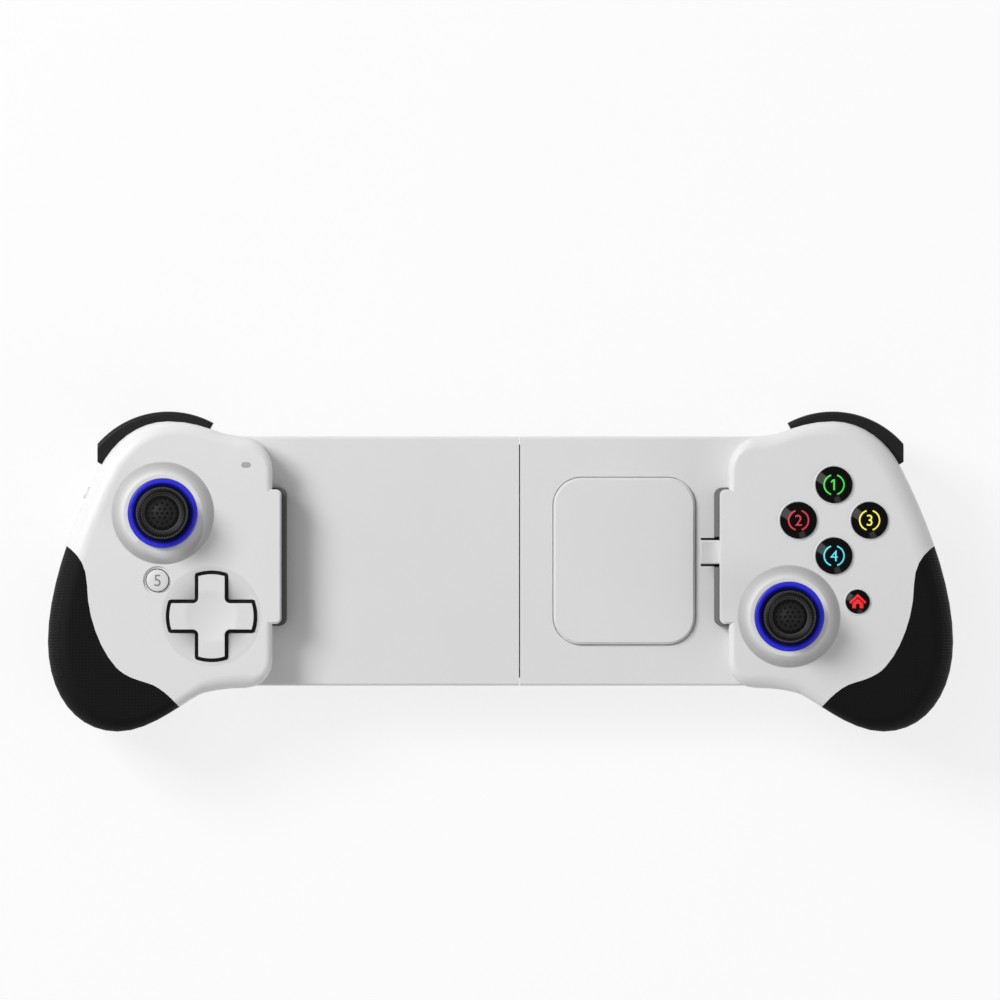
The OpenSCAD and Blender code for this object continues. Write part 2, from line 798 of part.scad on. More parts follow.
module face_button(dir) {
  color("#151515") on_right()
    translate([pad4_u + pad4_r * cos(dir), pad4_v + pad4_r * sin(dir), 0])
      round_button(face_button_r, button_proud, crown_drop);
}

// Rubber dome of a membrane, with its foot
module dome(p, r, top) {
  translate([p.x, p.y, board_z1]) cylinder(r = r + membrane_foot, h = membrane_t);
  translate([p.x, p.y, board_z1 + membrane_t])
    cylinder(r1 = r, r2 = 0.75 * r, h = top - board_z1 - membrane_t);
}

// Flat rubber strip between two points
module strip(a, b, w) {
  d = b - a;
  translate([a.x, a.y, board_z1]) rotate([0, 0, atan2(d.y, d.x)])
    translate([0, -w / 2, 0]) cube([norm(d), w, membrane_t]);
}

module button_membrane() {
  mid = [pad4_u, pad4_v];
  home = [home_u, home_v];
  color("#b0b0a8") on_right() {
    for (a = [0 : 90 : 270]) {
      key = mid + pad4_r * [cos(a), sin(a)];
      dome(key, membrane_dome * face_button_r, membrane_top);
      strip(mid, key, membrane_strip * face_button_r);
    }
    dome(home, membrane_dome * home_r, membrane_top);
    strip(mid - [0, pad4_r], home, membrane_strip * home_r);
  }
}

module dpad_membrane() {
  mid = [dpad_u, dpad_v];
  turbo = [turbo_u, turbo_v];
  reach = 0.68 * dpad_span / 2;
  top = dpad_flange_z0 - 0.8 - run_gap;
  color("#b0b0a8") on_left() difference() {
    union() {
      for (a = [0 : 90 : 270]) dome(mid + reach * [cos(a), sin(a)], 0.39 * dpad_arm, top);
      for (a = [0 : 90 : 270]) strip(mid, mid + reach * [cos(a), sin(a)], membrane_strip * dpad_arm);
      dome(turbo, membrane_dome * turbo_r, membrane_top);
      strip(mid + [reach, 0], turbo, membrane_strip * turbo_r);
    }
    translate([mid.x, mid.y, 0]) cylinder(r = fulcrum_r + run_gap, h = far);
  }
}

module dpad() {
  dip = 0.67 * (dpad_top - face_z);
  dip_ball_r = 1.64 * dpad_span;
  color("#e4e4e4") on_left() translate([dpad_u, dpad_v, 0]) difference() {
    union() {
      translate([0, 0, dpad_flange_z0]) linear_extrude(dpad_top - dpad_flange_z0) dpad_plan();
      translate([0, 0, dpad_flange_z0]) linear_extrude(dpad_flange_z1 - dpad_flange_z0)
        dpad_plan(dpad_gap + dpad_flange_w);
    }
    translate([0, 0, dpad_top - dip + dip_ball_r]) sphere(r = dip_ball_r);
    translate([0, 0, dpad_pivot_z]) sphere(r = fulcrum_r + 2 * pin_gap);
  }
}

module dpad_fulcrum() {
  color("#d0d0d0") on_left() translate([dpad_u, dpad_v, 0]) {
    translate([0, 0, dpad_pivot_z]) sphere(r = fulcrum_r);
    translate([0, 0, board_z1 + 0.2]) cylinder(r = 1, h = dpad_pivot_z - board_z1 - 0.2);
  }
}

module turbo_button() {
  color("#e4e4e4") on_left() translate([turbo_u, turbo_v, 0]) round_button(turbo_r, 0.4, 0.25);
}

module home_button() {
  color("#151515") on_right() translate([home_u, home_v, 0]) round_button(home_r, button_proud - 0.5, 0.5);
}

module status_light() {
  color("#f0f0e8") on_left() translate([light_u, light_v, ceiling_z])
    linear_extrude(shell_wall) light_plan();
}

module side_key() {
  depth = shell_wall + side_key_play + side_key_flange;
  color("#e4e4e4") on_left() at_side_key() translate([0, 0, -depth]) {
    cylinder(r = side_key_r, h = depth + side_key_proud);
    cylinder(r = side_key_r + flange_w, h = side_key_flange);
  }
}

key_r = shoulder_r + key_proud;

// Curved bumper key, its outer edges eased, hinged at its inner end
module bumper() {
  r0 = key_r - bumper_t;
  z0 = bumper_z0;
  z1 = bumper_z1;
  difference() {
    intersection() {
      translate([shoulder_c.x, shoulder_c.y, 0])
        rotate([0, 0, key_dir - bumper_half])
          rotate_extrude(angle = 2 * bumper_half, $fn = 128)
            polygon([[r0, z0], [key_r - 0.6, z0], [key_r, z0 + 0.6], [key_r, z1 - 1.4],
              [key_r - 0.2, z1 - 0.7], [key_r - 0.6, z1 - 0.2], [key_r - 1.2, z1], [r0, z1]]);
      translate([bumper_u0, 0, 0]) cube([bumper_u1 - bumper_u0, far, far]);
    }
    at_bumper_pin() cylinder(r = bumper_pin_r + pin_gap, h = far);
  }
}

module bumper_pin() {
  at_bumper_pin() translate([0, 0, bumper_pin_z0])
    cylinder(r = bumper_pin_r, h = bumper_pin_z1 - bumper_pin_z0);
}

// Trigger: hollowed finger plate, web and hub on a straight pin
module trigger() {
  web_z0 = part_z - trigger_hub_r + 0.4;
  hollow = 22;
  difference() {
    union() {
      intersection() {
        translate([shoulder_c.x, shoulder_c.y, 0])
          rotate([0, 0, key_dir - bumper_half])
            rotate_extrude(angle = 2 * bumper_half, $fn = 128)
              difference() {
                union() {
                  translate([key_r - trigger_t, trigger_z0])
                    square([trigger_t, trigger_z1 - trigger_z0]);
                  translate([trigger_pin_d - 0.4, web_z0])
                    square([key_r - trigger_pin_d, trigger_z1 - web_z0]);
                }
                translate([key_r + hollow - 1.6, (trigger_z0 + trigger_z1) / 2 - 1])
                  circle(r = hollow, $fn = 128);
              }
        trigger_slab(trigger_pin_d - 0.4, trigger_w / 2, trigger_z0, trigger_z1);
      }
      at_trigger_pin() cylinder(r = trigger_hub_r, h = trigger_w, center = true);
    }
    at_trigger_pin() cylinder(r = trigger_pin_r + pin_gap, h = 2 * trigger_w, center = true);
  }
}

module trigger_pin() {
  at_trigger_pin() cylinder(r = trigger_pin_r, h = trigger_pin_l, center = true);
}

// Rectangle with round corners, about its middle
module round_rect(w, h, r) {
  square([w - 2 * r, h], center = true);
  square([w, h - 2 * r], center = true);
  for (x = [-1, 1]) for (y = [-1, 1]) translate([x * (w / 2 - r), y * (h / 2 - r)]) circle(r = r);
}

bridge_x1 = inner_x + bridge_root;
slider_x0 = seam_x + seam_gap;

module bridge_bar(x0, x1) {
  translate([x0, bridge_y, part_z]) rotate([90, 0, 90]) linear_extrude(x1 - x0)
    round_rect(bridge_h, bridge_t, bridge_round);
}

// Box across the bridge, half width hw about its middle
module bridge_box(x0, x1, hw, z0, z1) {
  translate([x0, bridge_y - hw, z0]) cube([x1 - x0, 2 * hw, z1 - z0]);
}

module bridge_bosses(side, z0, z1) {
  for (y = [-1, 1]) translate([side * bridge_screw_x, bridge_y + y * bridge_screw_y, z0])
    cylinder(r = boss_r, h = z1 - z0);
}

module bridge_screw_holes(side) {
  for (y = [-1, 1]) translate([side * bridge_screw_x, bridge_y + y * bridge_screw_y, bridge_back_z - eps]) {
    cylinder(r = screw_r + pilot_gap, h = bridge_t - bridge_wall / 2);
    cylinder(r = screw_head_r + key_gap, h = screw_head_h + 2 * pilot_gap + eps);
  }
}

module sleeve_cavity() {
  bridge_box(bridge_wall - bridge_x1, seam_x + eps, cover_in, slot_z0, slot_z1);
}

module slider_cavity() {
  bridge_box(seam_x - eps, bridge_x1 - bridge_wall, tongue_hw, tongue_z0, tongue_z1);
}

module cover_front(side) {
  difference() {
    union() {
      difference() {
        children(0);
        children(1);
      }
      bridge_bosses(side, part_z, bridge_z1 - bridge_wall / 2);
    }
    bridge_box(-2 * far, 2 * far, far, 0, part_z);
    bridge_screw_holes(side);
  }
}

module cover_back(side) {
  difference() {
    union() {
      difference() {
        children(0);
        children(1);
      }
      bridge_bosses(side, bridge_back_z + bridge_wall / 2, part_z);
    }
    bridge_box(-2 * far, 2 * far, far, part_z, far);
    bridge_screw_holes(side);
  }
}

module sleeve_front() {
  color("#e0e0e0") cover_front(-1) {
    bridge_bar(-bridge_x1, seam_x);
    sleeve_cavity();
  }
}

// Back cover of the sleeve, with the posts that hold the springs
module sleeve_back() {
  color("#d8d8d8") {
    cover_back(-1) {
      bridge_bar(-bridge_x1, seam_x);
      sleeve_cavity();
    }
    for (y = [-1, 1]) translate([anchor_x, bridge_y + y * channel_y, slot_z0 - bridge_wall / 2])
      cylinder(r = anchor_r, h = bridge_t - 2 * bridge_wall);
  }
}

module slider_front() {
  color("#e0e0e0") difference() {
    cover_front(1) {
      bridge_bar(slider_x0, bridge_x1);
      slider_cavity();
    }
    translate([phone_pad_x, bridge_y, bridge_z1 - pad_recess]) linear_extrude(eps)
      round_rect(phone_pad_w + 2 * pad_groove, phone_pad_h + 2 * pad_groove, phone_pad_r + pad_groove);
  }
}

module slider_back() {
  color("#d8d8d8") cover_back(1) {
    bridge_bar(slider_x0, bridge_x1);
    slider_cavity();
  }
}

post_x = channel_x1 - 2.5;

// Sliding tray with channels for the springs and the flex cable, and the springs' posts
module slider_tongue() {
  color("#9a9a9a") {
    difference() {
      bridge_box(tongue_x0, tongue_x1, tongue_hw, tongue_z0, tongue_z1);
      for (y = [-1, 1])
        translate([tongue_x0 - eps, bridge_y + y * channel_y - channel_w / 2, tongue_z0 + channel_floor])
          cube([channel_x1 - tongue_x0 + eps, channel_w, bridge_t]);
      translate([tongue_x0 - eps, bridge_y - cable_w / 2 - run_gap, tongue_z0 + channel_floor])
        cube([channel_x1 - tongue_x0 + eps, cable_w + 2 * run_gap, bridge_t]);
    }
    for (y = [-1, 1]) translate([post_x, bridge_y + y * channel_y, tongue_z0])
      cylinder(r = anchor_r, h = tongue_z1 - tongue_z0 - run_gap);
  }
}

module phone_pad() {
  ease = 0.5;
  color("#e6e6e6") translate([phone_pad_x, bridge_y, bridge_z1 - pad_recess]) {
    linear_extrude(phone_pad_t + pad_recess - ease) round_rect(phone_pad_w, phone_pad_h, phone_pad_r);
    linear_extrude(phone_pad_t + pad_recess)
      round_rect(phone_pad_w - 2 * ease, phone_pad_h - 2 * ease, phone_pad_r - ease);
  }
}

// Helical wire along +X with square-cut ends
module coil(l, d, wire, turns) {
  steps = 8 * turns;
  sides = 5;
  r = (d - wire) / 2;
  rings = [for (i = [0 : steps])
    let (a = 360 * turns * i / steps)
    [for (k = [0 : sides - 1])
      let (b = 360 * k / sides, q = r + wire / 2 * cos(b))
      [l * i / steps + wire / 2 * sin(b), q * cos(a), q * sin(a)]]];
  loft(rings);
}

module return_springs() {
  hook = anchor_r + 2 * run_gap;
  color("silver") for (y = [-1, 1])
    translate([anchor_x + hook, bridge_y + y * channel_y, part_z])
      coil(post_x - anchor_x - 2 * hook, spring_d, spring_wire, spring_turns);
}

// Pleated flat cable between the sleeve's end and the tongue
module flex_cable() {
  x0 = anchor_x;
  x1 = channel_x1 - run_gap;
  tall = 1.8;
  n = 2 * cable_pleats;
  path = [for (i = [0 : n]) [x0 + (x1 - x0) * i / n, (i % 2 == 0 ? -1 : 1) * tall]];
  color("#c8a050") translate([0, bridge_y + cable_w / 2, part_z]) rotate([90, 0, 0]) linear_extrude(cable_w)
    polygon(concat(path, [for (i = [n : -1 : 0]) path[i] + [0, cable_t]]));
}

module bridge_screws(side) {
  color("dimgray") for (y = [-1, 1])
    translate([side * bridge_screw_x, bridge_y + y * bridge_screw_y, bridge_back_z + pilot_gap]) {
      cylinder(r = screw_head_r, h = screw_head_h);
      cylinder(r = screw_r, h = bridge_t - 1.5 * bridge_wall);
    }
}

module left_front_shell() {
  color("#e2e2e2") on_left() front_shell() {
    mound(left_stick_u, left_stick_v);
    left_face_cuts();
  }
}

module right_front_shell() {
  color("#e2e2e2") on_right() front_shell() {
    mound(right_stick_u, right_stick_v);
    union() {
      right_face_cuts();
      at_plug() linear_extrude(plug_l + plug_root) plug_plan();
    }
  }
}

// The right pad is open above the plug
module right_clamp_pad() {
  color("#303030") on_right() difference() {
    clamp_pad();
    at_plug() linear_extrude(plug_l + plug_root) {
      plug_plan(-key_gap);
      translate([-plug_w / 2 - key_gap, 0]) square([plug_w + 2 * key_gap, far]);
    }
  }
}

left_front_shell();
color("#dcdcdc") on_left() back_shell();  // left_back_shell
color("#181818") on_left() front_grip();  // left_front_grip
color("#181818") on_left() back_grip();  // left_back_grip
color("#303030") on_left() clamp_pad();  // left_clamp_pad
color("#1f5a38") on_left() board();  // left_board
color("dimgray") on_left() shell_screws();  // left_shell_screws
color("#2828d8") at_left_stick() stick_ring();  // left_stick_ring
color("#404040") at_left_stick() stick_housing();  // left_stick_housing
color("#606060") at_left_stick() stick_yoke();  // left_stick_yoke
color("#707070") at_left_stick() stick_rocker();  // left_stick_rocker
color("#141414") at_left_stick() thumbstick();  // left_thumbstick
dpad();
dpad_fulcrum();
dpad_membrane();
turbo_button();
status_light();
side_key();
color("#262626") on_left() bumper();  // left_bumper
color("silver") on_left() bumper_pin();  // left_bumper_pin
color("#141414") on_left() trigger();  // left_trigger
color("silver") on_left() trigger_pin();  // left_trigger_pin
sleeve_front();
sleeve_back();
slider_tongue();
slider_front();
slider_back();
phone_pad();
return_springs();
flex_cable();
bridge_screws(-1);  // sleeve_screws
bridge_screws(1);  // slider_screws
right_front_shell();
color("#dcdcdc") on_right() back_shell();  // right_back_shell
color("#181818") on_right() front_grip();  // right_front_grip
color("#181818") on_right() back_grip();  // right_back_grip
right_clamp_pad();
color("#1f5a38") on_right() board();  // right_board
color("dimgray") on_right() shell_screws();  // right_shell_screws
color("#2828d8") at_right_stick() stick_ring();  // right_stick_ring
color("#404040") at_right_stick() stick_housing();  // right_stick_housing
color("#606060") at_right_stick() stick_yoke();  // right_stick_yoke
color("#707070") at_right_stick() stick_rocker();  // right_stick_rocker
color("#141414") at_right_stick() thumbstick();  // right_thumbstick
face_button(90);  // top_button
face_button(180);  // left_button
face_button(0);  // right_button
face_button(270);  // bottom_button
home_button();
button_membrane();
color("#262626") on_right() bumper();  // right_bumper
color("silver") on_right() bumper_pin();  // right_bumper_pin
color("#141414") on_right() trigger();  // right_trigger
color("silver") on_right() trigger_pin();  // right_trigger_pin
plug_shell();
plug_core();
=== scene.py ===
"""Telescopic phone gamepad: finishes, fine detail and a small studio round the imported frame."""

import json
import logging
import math
from dataclasses import dataclass, replace
from enum import Enum
from typing import Any, Callable, Sequence

import bmesh
import bpy
from mathutils import Matrix, Vector
from mathutils.bvhtree import BVHTree


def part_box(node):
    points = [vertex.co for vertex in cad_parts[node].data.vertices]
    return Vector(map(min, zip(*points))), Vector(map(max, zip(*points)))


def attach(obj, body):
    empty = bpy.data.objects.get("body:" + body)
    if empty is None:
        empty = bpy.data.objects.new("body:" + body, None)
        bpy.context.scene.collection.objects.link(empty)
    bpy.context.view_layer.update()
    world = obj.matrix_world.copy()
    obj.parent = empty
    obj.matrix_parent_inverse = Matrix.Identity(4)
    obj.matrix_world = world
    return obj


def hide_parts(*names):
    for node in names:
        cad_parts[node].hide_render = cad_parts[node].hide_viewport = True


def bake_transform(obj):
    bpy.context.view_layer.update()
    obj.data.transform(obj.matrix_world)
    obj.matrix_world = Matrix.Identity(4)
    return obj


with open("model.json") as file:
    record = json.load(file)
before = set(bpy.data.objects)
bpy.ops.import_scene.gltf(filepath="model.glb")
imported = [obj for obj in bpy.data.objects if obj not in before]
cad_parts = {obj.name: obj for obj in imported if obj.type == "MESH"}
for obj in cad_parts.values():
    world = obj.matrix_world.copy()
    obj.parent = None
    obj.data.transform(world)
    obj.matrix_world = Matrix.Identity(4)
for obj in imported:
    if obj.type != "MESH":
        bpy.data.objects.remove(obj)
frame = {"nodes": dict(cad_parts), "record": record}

LOG = logging.getLogger("gamepad")
MM = 0.001
# Corners closer than these are one, on a solid's copy and on a print, and faces within the angle are one flat
MERGE = 0.002 * MM
PRINT_MERGE = 0.001 * MM
FLAT_DEG = 0.4
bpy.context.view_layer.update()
NODES: dict[str, bpy.types.Object] = frame["nodes"]
BODY_OF: dict[str, str] = {
    node: body for body, nodes in frame["record"]["behaviour"]["bodies"].items() for node in nodes
}
SLOT_OF: dict[str, str] = {row["node"]: row["material_slot"] for row in frame["record"]["subparts"]}

Tree = bpy.types.NodeTree
Node = bpy.types.Node
Socket = bpy.types.NodeSocket
Mesh = bpy.types.Mesh
Bands = tuple[tuple[float, str], ...]


class Side(Enum):
    """The two handles, with the way each points along X."""

    LEFT = -1
    RIGHT = 1

    @property
    def word(self) -> str:
        """The side's name as the nodes and bodies spell it."""
        return self.name.lower()


def srgb(code: str) -> tuple[float, float, float, float]:
    """Turn an sRGB hex value into linear colour.

    Args:
        code: Six hex digits, with or without a leading hash.

    Returns:
        Linear red, green and blue, and an alpha of one.
    """
    digits = code.lstrip("#")
    channels = [int(digits[i:i + 2], 16) / 255 for i in (0, 2, 4)]
    linear = [c / 12.92 if c <= 0.04045 else ((c + 0.055) / 1.055) ** 2.4 for c in channels]
    return linear[0], linear[1], linear[2], 1.0


def add_node(tree: Tree, kind: str, inputs: dict[Any, Any] | None = None, into: Sequence[Socket] = (),
             stops: Bands = (), **settings: Any) -> Node:
    """Add a node with its settings and links.

    Args:
        tree: The tree that gets the node.
        kind: Blender's type name of the node.
        inputs: Socket name or number to a value, to a socket to link from, or to a node whose result is meant.
        into: Sockets that the node's result is linked to.
        stops: For a colour ramp, each stop's place from 0 to 1 and its colour as sRGB hex.
        settings: Properties of the node itself.

    Returns:
        The new node.
    """
    item = tree.nodes.new(kind)
    for key, value in settings.items():
        setattr(item, key, value)
    for key, value in (inputs or {}).items():
        if isinstance(value, Node):
            value = next(socket for socket in value.outputs if socket.enabled)
        if isinstance(value, Socket):
            tree.links.new(value, item.inputs[key])
        else:
            item.inputs[key].default_value = value
    for number, (place, code) in enumerate(stops):
        marks = item.color_ramp.elements
        mark = marks[number] if number < len(marks) else marks.new(place)
        mark.position, mark.color = place, srgb(code)
    for target in into:
        tree.links.new(next(socket for socket in item.outputs if socket.enabled), target)
    return item


@dataclass(frozen=True)
class Finish:
    """A plain finish; kinds of finish add their pattern in dress().

    Roughness and index of refraction are the real material's usual ones.
    """

    name: str
    colour: str
    roughness: float = 0.5
    ior: float = 1.5
    metallic: float = 0.0
    specular: float = 0.5

    def build(self) -> bpy.types.Material:
        """Make the material, or find it if it was made before.

        Returns:
            The material.
        """
        known = bpy.data.materials.get(self.name)
        if known:
            return known
        material = bpy.data.materials.new(self.name)
        material.use_nodes = True
        tree = material.node_tree
        tree.nodes.clear()
        shader = add_node(tree, "ShaderNodeBsdfPrincipled", {
            "Base Color": srgb(self.colour), "Roughness": self.roughness,
            "IOR": self.ior, "Metallic": self.metallic, "Specular IOR Level": self.specular})
        add_node(tree, "ShaderNodeOutputMaterial", {"Surface": shader})
        self.dress(tree, shader)
        return material

    def dress(self, tree: Tree, shader: Node) -> None:
        """Add the finish's own pattern to the shader."""


def radial_colour(tree: Tree, centre_mm: tuple[float, float], bands: Bands) -> Node:
    """Colour that follows the level distance from an upright axis.

    Args:
        tree: The material's tree.
        centre_mm: Where the axis stands.
        bands: Distances in millimetres, from the smallest, each with the colour there as sRGB hex.

    Returns:
        The node that gives the colour.
    """
    coords = add_node(tree, "ShaderNodeTexCoord").outputs["Object"]
    place = add_node(tree, "ShaderNodeMapping", {
        "Vector": coords, "Location": (-centre_mm[0] * MM, -centre_mm[1] * MM, 0.0)})
    flat = add_node(tree, "ShaderNodeVectorMath", {0: place, 1: (1.0, 1.0, 0.0)}, operation="MULTIPLY")
    reach = add_node(tree, "ShaderNodeVectorMath", {0: flat}, operation="LENGTH")
    low, high = bands[0][0], bands[-1][0]
    share = add_node(tree, "ShaderNodeMapRange", {"Value": reach, "From Min": low * MM, "From Max": high * MM})
    return add_node(tree, "ShaderNodeValToRGB", {"Fac": share},
                    stops=tuple(((distance - low) / (high - low), code) for distance, code in bands))


@dataclass(frozen=True)
class MouldedPlastic(Finish):
    """Injection-moulded ABS with a spark-eroded grain: an even satin with soft, slightly broken highlights."""

    shade: str = "#D0D0D0"
    grain_mm: float = 0.4
    grain_depth_mm: float = 0.012
    cloud_mm: float = 30.0

    def dress(self, tree: Tree, shader: Node) -> None:
        """Faint flow clouds in the colour, fine grain in the bump. The real grain of 0.15 mm is drawn coarser.

        Args:
            tree: The material's tree.
            shader: The principled shader.
        """
        coords = add_node(tree, "ShaderNodeTexCoord").outputs["Object"]
        cloud = add_node(tree, "ShaderNodeTexNoise", {
            "Vector": coords, "Scale": 1 / (self.cloud_mm * MM), "Detail": 2.0})
        add_node(tree, "ShaderNodeValToRGB", {"Fac": cloud}, [shader.inputs["Base Color"]],
                 ((0.0, self.shade), (1.0, self.colour)))
        grain = add_node(tree, "ShaderNodeTexNoise", {
            "Vector": coords, "Scale": 1 / (self.grain_mm * MM), "Detail": 3.0})
        add_node(tree, "ShaderNodeBump", {"Height": grain, "Distance": self.grain_depth_mm * MM, "Strength": 1.0},
                 [shader.inputs["Normal"]])


@dataclass(frozen=True)
class GapShadedPlastic(MouldedPlastic):
    """A pale satin ABS cap with painted shade below the split: a darker colour that shows in the gap round the key.
    """

    # Colour of the painted shade, below the split or on sides that turn away
    base: str = "#141414"
    split_mm: float = 32.6

    def dress(self, tree: Tree, shader: Node) -> None:
        """The painted shade's darker colour takes over where the share says.

        Args:
            tree: The material's tree.
            shader: The principled shader.
        """
        super().dress(tree, shader)
        socket = shader.inputs["Base Color"]
        add_node(tree, "ShaderNodeMix", {
            0: self.shade_share(tree), 6: socket.links[0].from_socket, 7: srgb(self.base)}, [socket],
            data_type="RGBA")

    def shade_share(self, tree: Tree) -> Node:
        """The painted shade shows below the split.

        Args:
            tree: The material's tree.

        Returns:
            The node that gives 1 where the base shows.
        """
        axes = add_node(tree, "ShaderNodeSeparateXYZ", {0: add_node(tree, "ShaderNodeTexCoord").outputs["Object"]})
        return add_node(tree, "ShaderNodeMath", {0: axes.outputs["Z"], 1: self.split_mm * MM},
                        operation="LESS_THAN")


@dataclass(frozen=True)
class SideShadedPlastic(GapShadedPlastic):
    """Charcoal ABS with painted shade on its rolled-over sides, coloured darker where they turn away from level."""

    top_share: float = 0.9
    roll_share: float = 0.15

    def shade_share(self, tree: Tree) -> Node:
        """The painted shade shows where the face turns away from level.

        Args:
            tree: The material's tree.

        Returns:
            The node that gives 1 on the sides.
        """
        facing = add_node(tree, "ShaderNodeSeparateXYZ", {
            0: add_node(tree, "ShaderNodeTexCoord").outputs["Normal"]})
        return add_node(tree, "ShaderNodeMapRange", {
            "Value": facing.outputs["Z"], "From Min": self.top_share - self.roll_share,
            "From Max": self.top_share, "To Min": 1.0, "To Max": 0.0})


@dataclass(frozen=True)
class ShadeZone:
    """Rings of painted shade round an upright axis, which darken a moulding's colour."""

    centre_mm: tuple[float, float]
    bands: Bands


# Painted shade down the sloping collar round a stick, and painted shadow that deepens towards the middle of the
# pad's dish
COLLAR_SHADE: Bands = ((11.3, "#FFFFFF"), (12.2, "#E8E8E8"), (13.2, "#D2D2D2"), (14.5, "#C6C6C6"), (14.82, "#D8D8D8"),
                 (15.0, "#FFFFFF"))
DISH_SHADE: Bands = ((7.5, "#BFBFBF"), (9.3, "#D7D7D7"), (11.0, "#E8E8E8"), (12.8, "#F3F3F3"), (14.4, "#F5F5F5"),
               (14.55, "#FFFFFF"))


@dataclass(frozen=True)
class ShadePaintedPlastic(MouldedPlastic):
    """Satin ABS with painted shade in rings round a stick or a pad."""

    shade_zones: tuple[ShadeZone, ...] = ()

    def dress(self, tree: Tree, shader: Node) -> None:
        """Each ring of painted shade multiplies the colour.

        Args:
            tree: The material's tree.
            shader: The principled shader.
        """
        super().dress(tree, shader)
        socket = shader.inputs["Base Color"]
        for shade_ring in self.shade_zones:
            add_node(tree, "ShaderNodeMix", {
                0: 1.0, 6: socket.links[0].from_socket, 7: radial_colour(tree, shade_ring.centre_mm, shade_ring.bands)},
                [socket], data_type="RGBA", blend_type="MULTIPLY")


@dataclass(frozen=True)
class SoftRubber(Finish):
    """Overmoulded elastomer: dull, with small round pips that only show as a broken sheen."""

    shade: str = "#0E0E0E"
    pip_mm: float = 0.9
    pip_depth_mm: float = 0.06
    pip_edge: tuple[float, float] = (0.15, 0.45)
    dust_mm: float = 12.0
    specular: float = 0.18

    def dress(self, tree: Tree, shader: Node) -> None:
        """Even pips from rounded cells, and a little dust in the colour.

        Args:
            tree: The material's tree.
            shader: The principled shader.
        """
        coords = add_node(tree, "ShaderNodeTexCoord").outputs["Object"]
        cells = add_node(tree, "ShaderNodeTexVoronoi", {
            "Vector": coords, "Scale": 1 / (self.pip_mm * MM), "Randomness": 0.0})
        dome = add_node(tree, "ShaderNodeMapRange", {
            "Value": cells.outputs["Distance"], "From Min": self.pip_edge[0], "From Max": self.pip_edge[1],
            "To Min": 1.0, "To Max": 0.0})
        add_node(tree, "ShaderNodeBump", {"Height": dome, "Distance": self.pip_depth_mm * MM, "Strength": 1.0},
                 [shader.inputs["Normal"]])
        dust = add_node(tree, "ShaderNodeTexNoise", {
            "Vector": coords, "Scale": 1 / (self.dust_mm * MM), "Detail": 3.0})
        add_node(tree, "ShaderNodeValToRGB", {"Fac": dust}, [shader.inputs["Base Color"]],
                 ((0.0, self.shade), (1.0, self.colour)))


@dataclass(frozen=True)
class PaintedLightRubber(SoftRubber):
    """Thumb rubber with painted light: painted highlights on the crown's middle and on its rims, and painted shade
    in the groove round the crown.
    """

    pip_depth_mm: float = 0.0
    centre_mm: tuple[float, float] = (0.0, 0.0)
    # Bands of painted light: a painted highlight on the crown's middle, painted shade in the groove, painted
    # highlights on the rims
    bands: Bands = ((0.0, "#2A2A2A"), (3.9, "#1E1E1E"), (4.5, "#050505"), (5.0, "#070707"), (5.2, "#484848"),
                    (5.5, "#303030"), (5.7, "#0A0A0A"), (6.7, "#0E0E0E"), (7.0, "#222222"), (7.4, "#101010"))

    def dress(self, tree: Tree, shader: Node) -> None:
        """The bands of painted light and shade take the place of the colour.

        Args:
            tree: The material's tree.
            shader: The principled shader.
        """
        super().dress(tree, shader)
        tree.links.new(radial_colour(tree, self.centre_mm, self.bands).outputs["Color"], shader.inputs["Base Color"])


@dataclass(frozen=True)
class GlossDome(Finish):
    """Polished acrylic over black print: a deep black with sharp reflections."""

    coat: float = 0.6
    coat_roughness: float = 0.03
    swirl_mm: float = 3.0
    rub: float = 0.08

    def dress(self, tree: Tree, shader: Node) -> None:
        """A clear coat, and rubbing marks from thumbs that only change the gloss.

        Args:
            tree: The material's tree.
            shader: The principled shader.
        """
        shader.inputs["Coat Weight"].default_value = self.coat
        shader.inputs["Coat Roughness"].default_value = self.coat_roughness
        marks = add_node(tree, "ShaderNodeTexNoise", {
            "Vector": add_node(tree, "ShaderNodeTexCoord").outputs["Object"],
            "Scale": 1 / (self.swirl_mm * MM), "Detail": 4.0})
        add_node(tree, "ShaderNodeMapRange", {
            "Value": marks, "To Min": self.roughness, "To Max": self.roughness + self.rub},
            [shader.inputs["Roughness"]])


@dataclass(frozen=True)
class LitGuide(Finish):
    """Translucent polycarbonate lit from below: an even glow."""

    shade: str = "#A6A6A4"
    glow: float = 0.5
    glow_spread: float = 0.2
    patch_mm: float = 4.0

    def dress(self, tree: Tree, shader: Node) -> None:
        """Glow and colour vary a little between the lamps below.

        Args:
            tree: The material's tree.
            shader: The principled shader.
        """
        patch = add_node(tree, "ShaderNodeTexNoise", {
            "Vector": add_node(tree, "ShaderNodeTexCoord").outputs["Object"],
            "Scale": 1 / (self.patch_mm * MM), "Detail": 1.0})
        add_node(tree, "ShaderNodeMapRange", {
            "Value": patch, "To Min": (1 - self.glow_spread) * self.glow,
            "To Max": (1 + self.glow_spread) * self.glow}, [shader.inputs["Emission Strength"]])
        add_node(tree, "ShaderNodeValToRGB", {"Fac": patch}, [shader.inputs["Base Color"]],
                 ((0.0, self.shade), (1.0, self.colour)))
        shader.inputs["Emission Color"].default_value = srgb(self.colour)


